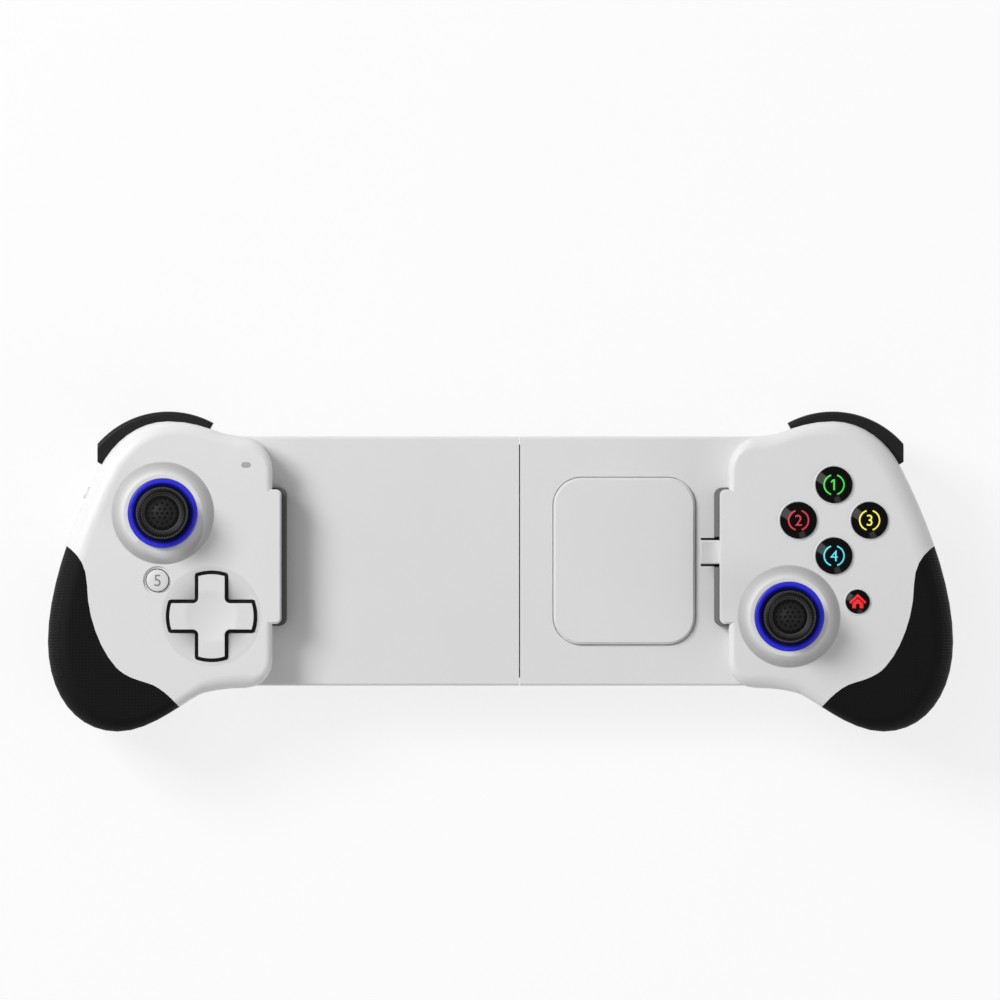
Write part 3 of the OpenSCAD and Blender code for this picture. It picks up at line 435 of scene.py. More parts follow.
@dataclass(frozen=True)
class LitRing(LitGuide):
    """A lit ring: brightest near its outer edge, black towards the stick as painted shadow of the cap, with a dark
    line at the very rim.
    """

    centre_mm: tuple[float, float] = (0.0, 0.0)
    # Painted shadow of the cap darkens the ring, and its glow, towards the stick
    bands: Bands = ((7.4, "#020208"), (8.09, "#060630"), (8.64, "#0E0F80"), (9.1, "#1A1CC0"), (9.88, "#1E21CC"),
                    (10.15, "#101250"))

    def dress(self, tree: Tree, shader: Node) -> None:
        """Colour and glow follow the distance from the stick's middle.

        Args:
            tree: The material's tree.
            shader: The principled shader.
        """
        super().dress(tree, shader)
        colour = radial_colour(tree, self.centre_mm, self.bands).outputs["Color"]
        for socket in ("Base Color", "Emission Color"):
            tree.links.new(colour, shader.inputs[socket])


@dataclass(frozen=True)
class Ink(LitGuide):
    """Translucent print under the dome with a painted glow that no lamp behind it gives, and slightly uneven as
    screen print is.
    """

    # Painted glow of the print
    glow: float = 0.35
    patch_mm: float = 0.8


@dataclass(frozen=True)
class BrushedMetal(Finish):
    """Drawn or plated metal: fine lines along one axis that stretch the highlight."""

    line_mm: float = 0.15
    line_depth_mm: float = 0.004
    gloss: tuple[float, float] = (-0.08, 0.1)
    stretch: tuple[float, float, float] = (1.0, 1.0, 0.05)

    def dress(self, tree: Tree, shader: Node) -> None:
        """Lines drawn by squeezing noise along one axis.

        Args:
            tree: The material's tree.
            shader: The principled shader.
        """
        squeezed = add_node(tree, "ShaderNodeMapping", {
            "Vector": add_node(tree, "ShaderNodeTexCoord").outputs["Object"], "Scale": self.stretch})
        lines = add_node(tree, "ShaderNodeTexNoise", {
            "Vector": squeezed, "Scale": 1 / (self.line_mm * MM), "Detail": 2.0})
        add_node(tree, "ShaderNodeMapRange", {
            "Value": lines, "To Min": self.roughness + self.gloss[0], "To Max": self.roughness + self.gloss[1]},
            [shader.inputs["Roughness"]])
        add_node(tree, "ShaderNodeBump", {"Height": lines, "Distance": self.line_depth_mm * MM, "Strength": 1.0},
                 [shader.inputs["Normal"]])


@dataclass(frozen=True)
class ReflectionPaintedShell(BrushedMetal):
    """Matt plating rolled round a plug: pale on the flat, with a painted reflection of dark surroundings where the
    sides roll down.
    """

    # Colour of the painted reflection on the rolled sides
    edge: str = "#101010"
    middle_mm: float = 5.65
    flat_mm: float = 3.35
    roll_mm: float = 0.2

    def dress(self, tree: Tree, shader: Node) -> None:
        """The painted dark reflection starts a set way from the plug's middle line.

        Args:
            tree: The material's tree.
            shader: The principled shader.
        """
        super().dress(tree, shader)
        axes = add_node(tree, "ShaderNodeSeparateXYZ", {0: add_node(tree, "ShaderNodeTexCoord").outputs["Object"]})
        offset = add_node(tree, "ShaderNodeMath", {0: axes.outputs["Y"], 1: self.middle_mm * MM},
                          operation="SUBTRACT")
        away = add_node(tree, "ShaderNodeMath", {0: offset}, operation="ABSOLUTE")
        roll = add_node(tree, "ShaderNodeMapRange", {
            "Value": away, "From Min": self.flat_mm * MM, "From Max": (self.flat_mm + self.roll_mm) * MM})
        add_node(tree, "ShaderNodeValToRGB", {"Fac": roll}, [shader.inputs["Base Color"]],
                 ((0.0, self.colour), (1.0, self.edge)))


@dataclass(frozen=True)
class SolderMask(Finish):
    """Green solder mask over copper: a glossy board with lighter tracks."""

    track: str = "#2E7A4C"
    track_mm: float = 2.4
    track_share: float = 0.08
    track_depth_mm: float = 0.02

    def dress(self, tree: Tree, shader: Node) -> None:
        """Tracks from a plain brick pattern.

        Args:
            tree: The material's tree.
            shader: The principled shader.
        """
        tracks = add_node(tree, "ShaderNodeTexBrick", {
            "Vector": add_node(tree, "ShaderNodeTexCoord").outputs["Object"],
            "Scale": 1 / (self.track_mm * MM), "Mortar Size": self.track_share}).outputs["Fac"]
        add_node(tree, "ShaderNodeValToRGB", {"Fac": tracks}, [shader.inputs["Base Color"]],
                 ((0.0, self.colour), (1.0, self.track)))
        add_node(tree, "ShaderNodeBump", {"Height": tracks, "Distance": self.track_depth_mm * MM, "Strength": 1.0},
                 [shader.inputs["Normal"]])


# What each slot is really made of
FINISHES: dict[str, Finish] = {
    "shell_white": MouldedPlastic("satin moulded ABS, light grey", "#E2E2E3", 0.46, 1.53, shade="#DCDCDD"),
    "panel_white": MouldedPlastic("smooth moulded ABS, light grey", "#E0E0E1", 0.42, 1.53, shade="#DBDBDC",
                                  grain_depth_mm=0.006),
    "grip_black": SoftRubber("pipped overmoulded elastomer, black", "#0D0D0D", 0.66, 1.45, shade="#090909"),
    # The charcoal keys carry painted shade, near black, on their rolled-over sides
    "key_black": SideShadedPlastic("satin moulded ABS, charcoal", "#202020", 0.5, 1.53, specular=0.2,
                                 shade="#1B1B1B", base="#050505"),
    "trigger_black": MouldedPlastic("satin moulded ABS, black", "#121212", 0.42, 1.53, specular=0.3,
                                    shade="#0C0C0C"),
    # Thumb rubber whose colour is rings of painted highlight and painted shade
    "stick_black": PaintedLightRubber("moulded thumb rubber, black", "#1C1C1C", 0.5, 1.48, shade="#141414"),
    "ring_blue": LitRing("lit polycarbonate ring, blue", "#2226DC", 0.35, 1.58, glow=0.3),
    "button_black": GlossDome("polished acrylic dome, black", "#030303", 0.05, 1.49),
    # Keys pale above, with painted shade below the face that is seen in the gap round them
    "button_white": GapShadedPlastic("two-shot satin ABS, white on black", "#E0E0E1", 0.4, 1.53, shade="#DADADB",
                                   grain_depth_mm=0.005, base="#565656"),
    "pad_dark": SoftRubber("smooth moulded rubber, mid grey", "#5C5C5C", 0.6, 1.48, shade="#545454",
                           pip_depth_mm=0.0),
    "pad_white": MouldedPlastic("moulded silicone, light grey", "#E0E0E0", 0.5, 1.43, shade="#DADADA",
                                grain_depth_mm=0.008),
    "board_green": SolderMask("solder mask over copper, green", "#1C5234", 0.3, 1.5),
    "steel": BrushedMetal("zinc-plated steel", "#9A9A9C", 0.35, metallic=1.0),
    "membrane_grey": SoftRubber("silicone membrane, grey", "#A8A8A0", 0.55, 1.43, shade="#9C9C95",
                                pip_depth_mm=0.0),
    "tongue_grey": MouldedPlastic("glass-filled nylon, grey", "#8E8E8E", 0.5, 1.53, shade="#868686"),
    "cable_amber": MouldedPlastic("polyimide film over copper, amber", "#C07A2A", 0.3, 1.7, shade="#A86820"),
    "light_clear": LitGuide("clear light guide", "#B4B4B2", 0.3, 1.58, glow=0.0),
    # Plug plating with a painted dark reflection on its rolled sides
    "plug_metal": ReflectionPaintedShell("matt tin-plated steel", "#F0F0F0", 0.62, metallic=1.0, stretch=(0.05, 1.0, 1.0)),
    "inner_dark": MouldedPlastic("moulded acetal, dark grey", "#303030", 0.4, 1.48, shade="#262626"),
}


def stand(name: str, data: bpy.types.ID) -> bpy.types.Object:
    """Put a new object into the scene, at the origin.

    Args:
        name: The object's name.
        data: Its mesh, curve, lamp or camera.

    Returns:
        The object.
    """
    item = bpy.data.objects.new(name, data)
    bpy.context.scene.collection.objects.link(item)
    return item


def mesh_from(work: bmesh.types.BMesh, name: str) -> Mesh:
    """Turn a worked shape into a mesh.

    Args:
        work: The shape, which is used up.
        name: Name of the mesh.

    Returns:
        The mesh.
    """
    mesh = bpy.data.meshes.new(name)
    work.to_mesh(mesh)
    work.free()
    return mesh


def frozen(carrier: bpy.types.Object, name: str) -> Mesh:
    """Turn an object with live modifiers into a plain mesh and remove the object.

    Args:
        carrier: The object, linked to the scene.
        name: Name of the mesh.

    Returns:
        The evaluated mesh.
    """
    depsgraph = bpy.context.evaluated_depsgraph_get()
    mesh = bpy.data.meshes.new_from_object(carrier.evaluated_get(depsgraph), depsgraph=depsgraph)
    bpy.data.objects.remove(carrier)
    mesh.name = name
    return mesh


def publish(name: str, mesh: Mesh, body: str, slot: str, replaced: Sequence[str] = (), across: str = "") -> None:
    """Put a finished mesh into the scene as a piece of the object.

    Args:
        name: The piece's name.
        mesh: Its mesh, in place in the row frame.
        body: The body it moves with; a piece that stretches between two isn't attached to it.
        slot: The record's material slot.
        replaced: CAD nodes that it stands for.
        across: The body at its right end, where it stretches between two; such a piece is left in place and attached
            to no body.
    """
    piece = stand(name, mesh)
    if not mesh.materials:
        mesh.materials.append(FINISHES[slot].build())
    if across:
        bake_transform(piece)
    else:
        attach(piece, body)
    if replaced:
        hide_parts(*replaced)
    LOG.info("%s: %d faces on %s", name, len(mesh.polygons), body)


def smooth_copy(node: str, angle: float = 35.0, bevel_mm: float = 0.0, finish: Finish | None = None,
                across: str = "") -> None:
    """Stand a merged, smooth-shaded copy of a CAD node in its place; its wide flat faces stay flat to their edges.

    Args:
        node: The CAD node.
        angle: Edges sharper than this many degrees stay sharp.
        bevel_mm: Width of an eased edge, or zero for none.
        finish: Its own finish, where that isn't the slot's.
        across: The body at its right end, where it stretches between two; such a copy is left in place and attached
            to no body.
    """
    name = node + "_surface"
    work = bmesh.new()
    work.from_mesh(NODES[node].data)
    bmesh.ops.remove_doubles(work, verts=work.verts, dist=MERGE)
    bmesh.ops.dissolve_limit(work, angle_limit=math.radians(FLAT_DEG), verts=work.verts, edges=work.edges)
    for face in work.faces:
        face.smooth = True
    mesh = mesh_from(work, name)
    if "custom_normal" in mesh.attributes:
        mesh.attributes.remove(mesh.attributes["custom_normal"])
    mesh.materials.clear()
    if bevel_mm:
        mesh = bevelled(mesh, bevel_mm, angle)
    mesh.set_sharp_from_angle(angle=math.radians(angle))
    carrier = stand("level", mesh)
    carrier.modifiers.new("level", "WEIGHTED_NORMAL").keep_sharp = True
    mesh = frozen(carrier, name)
    if finish:
        mesh.materials.append(finish.build())
    publish(name, mesh, BODY_OF[node], SLOT_OF[node], (node,), across)


def bevelled(mesh: Mesh, width_mm: float, angle: float) -> Mesh:
    """Ease a mesh's sharp edges.

    Args:
        mesh: The mesh, which is used up.
        width_mm: Width of the eased edge.
        angle: Edges sharper than this many degrees are eased.

    Returns:
        The new mesh.
    """
    carrier = stand("bevel", mesh)
    ease = carrier.modifiers.new("ease", "BEVEL")
    ease.width = width_mm * MM
    ease.segments = 2
    ease.limit_method = "ANGLE"
    ease.angle_limit = math.radians(angle)
    ease.harden_normals = False
    return frozen(carrier, mesh.name)


@dataclass
class Pattern:
    """A Geometry Nodes tree with named inputs, turned into a plain mesh on demand."""

    name: str
    sockets: dict[str, str]
    wire: Callable[[Tree, dict[str, Socket]], Node]

    def tree(self) -> Tree:
        """Build the tree once: the wired geometry is realised and gets its material.

        Returns:
            The tree.
        """
        known = bpy.data.node_groups.get(self.name)
        if known:
            return known
        tree = bpy.data.node_groups.new(self.name, "GeometryNodeTree")
        kinds = {"Geometry": "NodeSocketGeometry"} | self.sockets | {"Material": "NodeSocketMaterial"}
        for label, kind in kinds.items():
            tree.interface.new_socket(label, in_out="INPUT", socket_type=kind)
        tree.interface.new_socket("Geometry", in_out="OUTPUT", socket_type="NodeSocketGeometry")
        given = add_node(tree, "NodeGroupInput")
        shape = self.wire(tree, {socket.name: socket for socket in given.outputs})
        real = add_node(tree, "GeometryNodeRealizeInstances", {"Geometry": shape})
        dressed = add_node(tree, "GeometryNodeSetMaterial", {
            "Geometry": real, "Material": given.outputs["Material"]})
        add_node(tree, "NodeGroupOutput", {"Geometry": dressed})
        return tree

    def mesh(self, name: str, material: bpy.types.Material, base: Mesh | None = None, **sizes: Any) -> Mesh:
        """Run the tree.

        Args:
            name: Name of the mesh.
            material: What the tree's Set Material gives it.
            base: Mesh that the tree starts from, if it needs one.
            sizes: The tree's inputs.

        Returns:
            A plain mesh about the origin.
        """
        carrier = stand(name, base or bpy.data.meshes.new(name))
        modifier = carrier.modifiers.new("pattern", "NODES")
        modifier.node_group = self.tree()
        values = sizes | {"Material": material}
        for item in modifier.node_group.interface.items_tree:
            if item.item_type == "SOCKET" and item.in_out == "INPUT" and item.name in values:
                modifier[item.identifier] = values[item.name]
        return frozen(carrier, name)


def wire_teeth(tree: Tree, given: dict[str, Socket]) -> Node:
    """Blocks round a circle, each turned to face outwards.

    Args:
        tree: The pattern's tree.
        given: The tree's inputs by name.

    Returns:
        The node that gives the blocks.
    """
    circle = add_node(tree, "GeometryNodeMeshCircle", {"Vertices": given["Count"], "Radius": given["Radius"]})
    size = add_node(tree, "ShaderNodeCombineXYZ", {"X": given["Depth"], "Y": given["Width"], "Z": given["Height"]})
    block = add_node(tree, "GeometryNodeMeshCube", {"Size": size})
    step = add_node(tree, "ShaderNodeMath", {0: 2 * math.pi, 1: given["Count"]}, operation="DIVIDE")
    index = add_node(tree, "GeometryNodeInputIndex")
    angle = add_node(tree, "ShaderNodeMath", {0: index, 1: step}, operation="MULTIPLY")
    turn = add_node(tree, "ShaderNodeCombineXYZ", {"Z": angle})
    return add_node(tree, "GeometryNodeInstanceOnPoints", {"Points": circle, "Instance": block, "Rotation": turn})


def wire_dots(tree: Tree, given: dict[str, Socket]) -> Node:
    """A middle dot and rings of six, twelve and eighteen dots, dropped onto the base mesh from above.

    Args:
        tree: The pattern's tree.
        given: The tree's inputs by name.

    Returns:
        The node that gives the dots.
    """
    spread = add_node(tree, "GeometryNodeJoinGeometry", {0: add_node(tree, "GeometryNodePoints", {"Count": 1})})
    for ring in (1, 2, 3):
        reach = add_node(tree, "ShaderNodeMath", {0: given["Pitch"], 1: float(ring)}, operation="MULTIPLY")
        add_node(tree, "GeometryNodeMeshCircle", {"Vertices": 6 * ring, "Radius": reach}, [spread.inputs[0]])
    above = add_node(tree, "ShaderNodeVectorMath", {
        0: add_node(tree, "GeometryNodeInputPosition"), 1: given["Above"]}, operation="ADD")
    drop = add_node(tree, "GeometryNodeRaycast", {
        "Target Geometry": given["Geometry"], "Source Position": above, "Ray Direction": (0.0, 0.0, -1.0)})
    moved = add_node(tree, "GeometryNodeSetPosition", {
        "Geometry": spread, "Position": drop.outputs["Hit Position"]})
    dot = add_node(tree, "GeometryNodeMeshIcoSphere", {"Radius": given["Dot"], "Subdivisions": 2})
    low = add_node(tree, "GeometryNodeTransform", {"Geometry": dot, "Scale": (1.0, 1.0, 0.5)})
    soft = add_node(tree, "GeometryNodeSetShadeSmooth", {"Geometry": low})
    return add_node(tree, "GeometryNodeInstanceOnPoints", {"Points": moved, "Instance": soft})


def wire_screws(tree: Tree, given: dict[str, Socket]) -> Node:
    """Screws that stand on their heads, one at each point of the base mesh, with a cross recess from below.

    Args:
        tree: The pattern's tree.
        given: The tree's inputs by name.

    Returns:
        The node that gives the screws.
    """
    head = add_node(tree, "GeometryNodeMeshCylinder", {
        "Vertices": 32, "Radius": given["Head"], "Depth": given["Height"]})
    half = add_node(tree, "ShaderNodeMath", {0: given["Height"], 1: 0.5}, operation="MULTIPLY")
    lift = add_node(tree, "ShaderNodeCombineXYZ", {"Z": half})
    raised = add_node(tree, "GeometryNodeTransform", {"Geometry": head, "Translation": lift})
    cut = add_node(tree, "GeometryNodeMeshBoolean", {"Mesh 1": raised}, operation="DIFFERENCE", solver="EXACT")
    for long, short in (("X", "Y"), ("Y", "X")):
        arm = add_node(tree, "ShaderNodeCombineXYZ", {
            long: given["Cross"], short: given["Slot"], "Z": given["Height"]})
        add_node(tree, "GeometryNodeMeshCube", {"Size": arm}, [cut.inputs["Mesh 2"]])
    shank = add_node(tree, "GeometryNodeMeshCylinder", {
        "Vertices": 20, "Radius": given["Shank"], "Depth": given["Length"]})
    middle = add_node(tree, "ShaderNodeMath", {0: given["Length"], 1: 0.5, 2: given["Height"]},
                      operation="MULTIPLY_ADD")
    sunk = add_node(tree, "ShaderNodeMath", {0: middle, 1: given["Sink"]}, operation="SUBTRACT")
    above = add_node(tree, "ShaderNodeCombineXYZ", {"Z": sunk})
    screw = add_node(tree, "GeometryNodeJoinGeometry", {0: cut})
    add_node(tree, "GeometryNodeTransform", {"Geometry": shank, "Translation": above}, [screw.inputs[0]])
    return add_node(tree, "GeometryNodeInstanceOnPoints", {"Points": given["Geometry"], "Instance": screw})


def wire_springs(tree: Tree, given: dict[str, Socket]) -> Node:
    """Coils that lie along X, one from each point of the base mesh.

    Args:
        tree: The pattern's tree.
        given: The tree's inputs by name.

    Returns:
        The node that gives the coils.
    """
    path = add_node(tree, "GeometryNodeCurveSpiral", {
        "Resolution": 20, "Rotations": given["Turns"], "Start Radius": given["Radius"],
        "End Radius": given["Radius"], "Height": given["Length"]})
    wire = add_node(tree, "GeometryNodeCurvePrimitiveCircle", {"Resolution": 8, "Radius": given["Wire"]})
    coil = add_node(tree, "GeometryNodeCurveToMesh", {"Curve": path, "Profile Curve": wire, "Fill Caps": True})
    soft = add_node(tree, "GeometryNodeSetShadeSmooth", {"Geometry": coil})
    lying = add_node(tree, "GeometryNodeTransform", {"Geometry": soft, "Rotation": (0.0, math.pi / 2, 0.0)})
    return add_node(tree, "GeometryNodeInstanceOnPoints", {"Points": given["Geometry"], "Instance": lying})


def wire_ribs(tree: Tree, given: dict[str, Socket]) -> Node:
    """A round rib along each line of the base mesh.

    Args:
        tree: The pattern's tree.
        given: The tree's inputs by name.

    Returns:
        The node that gives the ribs.
    """
    lines = add_node(tree, "GeometryNodeMeshToCurve", {"Mesh": given["Geometry"]})
    profile = add_node(tree, "GeometryNodeCurvePrimitiveCircle", {"Resolution": 6, "Radius": given["Rib"]})
    tubes = add_node(tree, "GeometryNodeCurveToMesh", {"Curve": lines, "Profile Curve": profile, "Fill Caps": True})
    return add_node(tree, "GeometryNodeSetShadeSmooth", {"Geometry": tubes})


FLOAT = "NodeSocketFloat"
TEETH = Pattern("teeth round a rim", {"Count": "NodeSocketInt", "Radius": FLOAT, "Depth": FLOAT, "Width": FLOAT,
                                      "Height": FLOAT}, wire_teeth)
DOTS = Pattern("dots on a crown", {"Pitch": FLOAT, "Dot": FLOAT, "Above": "NodeSocketVector"}, wire_dots)
SCREWS = Pattern("cross-recess screws", {"Head": FLOAT, "Height": FLOAT, "Cross": FLOAT, "Slot": FLOAT,
                                         "Shank": FLOAT, "Length": FLOAT, "Sink": FLOAT}, wire_screws)
RIBS = Pattern("ribs along lines", {"Rib": FLOAT}, wire_ribs)
SPRINGS = Pattern("coil springs", {"Turns": FLOAT, "Radius": FLOAT, "Wire": FLOAT, "Length": FLOAT}, wire_springs)


def centre_of(node: str) -> Vector:
    """Middle of a CAD node's box."""
    low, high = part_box(node)
    return (Vector(low) + Vector(high)) / 2


def top_of(node: str) -> float:
    """Highest point of a CAD node."""
    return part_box(node)[1][2]


@dataclass
class Handle:
    """One handle: its shells, grips, clamp pad and shoulder keys, with ribs on the grip's outer side."""

    side: Side
    rib_pitch_mm: float = 0.85
    rib_mm: float = 0.16
    rib_sink: float = 0.4
    rib_span_mm: tuple[float, float] = (-30.0, 5.0)
    rib_reach_mm: tuple[float, float] = (9.0, 33.0)
    rib_steps: int = 20
    outside_mm: float = 200.0
    # Painted highlight: the ribs are coloured paler than the grip's rubber
    rib_finish: Finish = SoftRubber("ribbed elastomer, worn black", "#1E1E1E", 0.5, 1.45, shade="#181818",
                                    pip_depth_mm=0.0)

    def build(self) -> None:
        """Replace what shows by smooth copies and add the ribs."""
        word = self.side.word
        # Painted shade on the stick's collar and, on the left, painted shadow in the pad's dish
        shade_zones = [(f"{word}_thumbstick", COLLAR_SHADE)] + ([("dpad", DISH_SHADE)] if self.side is Side.LEFT else [])
        shaded_shell = ShadePaintedPlastic(
            f"satin moulded ABS, light grey, {word}", "#E2E2E3", 0.46, 1.53, shade="#DCDCDD",
            shade_zones=tuple(ShadeZone(tuple(centre_of(node).xy / MM), bands) for node, bands in shade_zones))
        smooth_copy(f"{word}_front_shell", angle=32.0, finish=shaded_shell)
        for part in ("back_shell", "front_grip", "back_grip"):
            smooth_copy(f"{word}_{part}", angle=32.0)
        smooth_copy(f"{word}_clamp_pad", angle=40.0, bevel_mm=0.6, finish=self.pad_finish())
        for part in ("bumper", "trigger"):
            smooth_copy(f"{word}_{part}", angle=40.0, bevel_mm=0.5)
        self.ribs()

    def pad_finish(self) -> Finish:
        """Choose the clamp pad's rubber: the one beside the plug is the same rubber painted paler, as painted light
        on the lit side.

        Returns:
            The finish.
        """
        dark = FINISHES["pad_dark"]
        if self.side is Side.LEFT:
            return dark
        # Painted light: the right pad, which faces the key lamp, is coloured paler
        return replace(dark, name="smooth moulded rubber, pale grey", colour="#787878", shade="#707070")

    def ribs(self) -> None:
        """Fine ribs that lie on the rubber where the palm's edge holds it."""
        word = self.side.word
        grips = [NODES[f"{word}_{part}_grip"].data for part in ("front", "back")]
        skins = [BVHTree.FromPolygons([v.co for v in grip.vertices], [p.vertices for p in grip.polygons])
                 for grip in grips]
        inwards = Vector((-self.side.value, 0, 0))
        low, high = (v * MM for v in self.rib_reach_mm)
        lines = bmesh.new()
        count = int((self.rib_span_mm[1] - self.rib_span_mm[0]) / self.rib_pitch_mm)
        for k in range(count + 1):
            y = (self.rib_span_mm[0] + k * self.rib_pitch_mm) * MM
            last = None
            for j in range(self.rib_steps + 1):
                z = low + (high - low) * j / self.rib_steps
                start = Vector((self.side.value * self.outside_mm * MM, y, z))
                hits = [skin.ray_cast(start, inwards) for skin in skins]
                found = [hit for hit in hits if hit[0] is not None]
                if not found:
                    last = None
                    continue
                point, normal = min(found, key=lambda hit: hit[3])[:2]
                vert = lines.verts.new(point - normal * self.rib_mm * MM * self.rib_sink)
                if last:
                    lines.edges.new((last, vert))
                last = vert
        base = mesh_from(lines, "rib_lines")
        mesh = RIBS.mesh(f"{word}_grip_ribs", self.rib_finish.build(), base, Rib=self.rib_mm * MM)
        publish(f"{word}_grip_ribs", mesh, f"{word}_half", "grip_black")


@dataclass(frozen=True)
class Knurl:
    """A ring of teeth on a stick's cap: its middle radius, count, block size and depth under the cap's top."""

    label: str
    radius_mm: float
    count: int
    depth_mm: float
    width_mm: float
    height_mm: float
    below_mm: float


@dataclass
class Thumbstick:
    """A thumbstick's grip: toothed rims and a dotted crown on the CAD's cap, and its light ring."""

    side: Side
    dot_mm: float = 0.42
    dot_pitch_mm: float = 1.4
    above_mm: float = 5.0
    knurls: tuple[Knurl, ...] = (
        Knurl("cap_knurl", 7.2, 60, 0.3, 0.36, 0.6, 0.03),
        Knurl("rim_knurl", 5.9, 60, 0.26, 0.28, 0.5, 0.06),
    )
    # Painted highlight: the teeth are coloured paler than the cap's rubber so that they read as lit
    tooth_finish: Finish = SoftRubber("rubbed thumb rubber, dark grey", "#585858", 0.45, 1.48, shade="#4A4A4A",
                                      pip_depth_mm=0.0)
    dot_finish: Finish = SoftRubber("dull thumb rubber, black", "#080808", 0.6, 1.48, shade="#050505",
                                    pip_depth_mm=0.0)

    def build(self) -> None:
        """Add the teeth and dots, which ride on the stick."""
        word = self.side.word
        stick = f"{word}_thumbstick"
        middle = centre_of(stick)
        top = top_of(stick)
        axis = tuple(middle.xy / MM)
        # The cap's rubber is coloured with rings of painted highlight and painted shade round its axis
        painted_rubber = replace(FINISHES["stick_black"], name=f"moulded thumb rubber, black, {word}", centre_mm=axis)
        smooth_copy(stick, angle=30.0, finish=painted_rubber)
        lit = replace(FINISHES["ring_blue"], name=f"lit polycarbonate ring, blue, {word}", centre_mm=axis)
        smooth_copy(f"{word}_stick_ring", angle=40.0, bevel_mm=0.15, finish=lit)
        for knurl in self.knurls:
            mesh = TEETH.mesh(
                knurl.label, self.tooth_finish.build(), Count=knurl.count, Radius=knurl.radius_mm * MM,
                Depth=knurl.depth_mm * MM, Width=knurl.width_mm * MM, Height=knurl.height_mm * MM)
            height = top - (knurl.below_mm + knurl.height_mm / 2) * MM
            mesh.transform(Matrix.Translation((middle.x, middle.y, height)))
            publish(f"{word}_{knurl.label}", mesh, f"{word}_stick", "stick_black")
        dots = DOTS.mesh("crown_dots", self.dot_finish.build(), NODES[stick].data.copy(),
                         Pitch=self.dot_pitch_mm * MM, Dot=self.dot_mm * MM,
                         Above=(middle.x, middle.y, top + self.above_mm * MM))
        publish(f"{word}_crown_dots", dots, f"{word}_stick", "stick_black")


def flat_shapes(*shapes: Sequence[tuple[float, float]]) -> Mesh:
    """A flat mesh of convex pieces.

    Args:
        shapes: Each piece's corners, in millimetres.

    Returns:
        The mesh, level at the origin.
    """
    work = bmesh.new()
    for shape in shapes:
        work.faces.new([work.verts.new((x * MM, y * MM, 0)) for x, y in shape])
    return mesh_from(work, "flat_shapes")


@dataclass(frozen=True)
class Legend:
    """A plain number on a button, in the button's own colour."""

    node: str
    body: str
    number: str
    ink: Ink


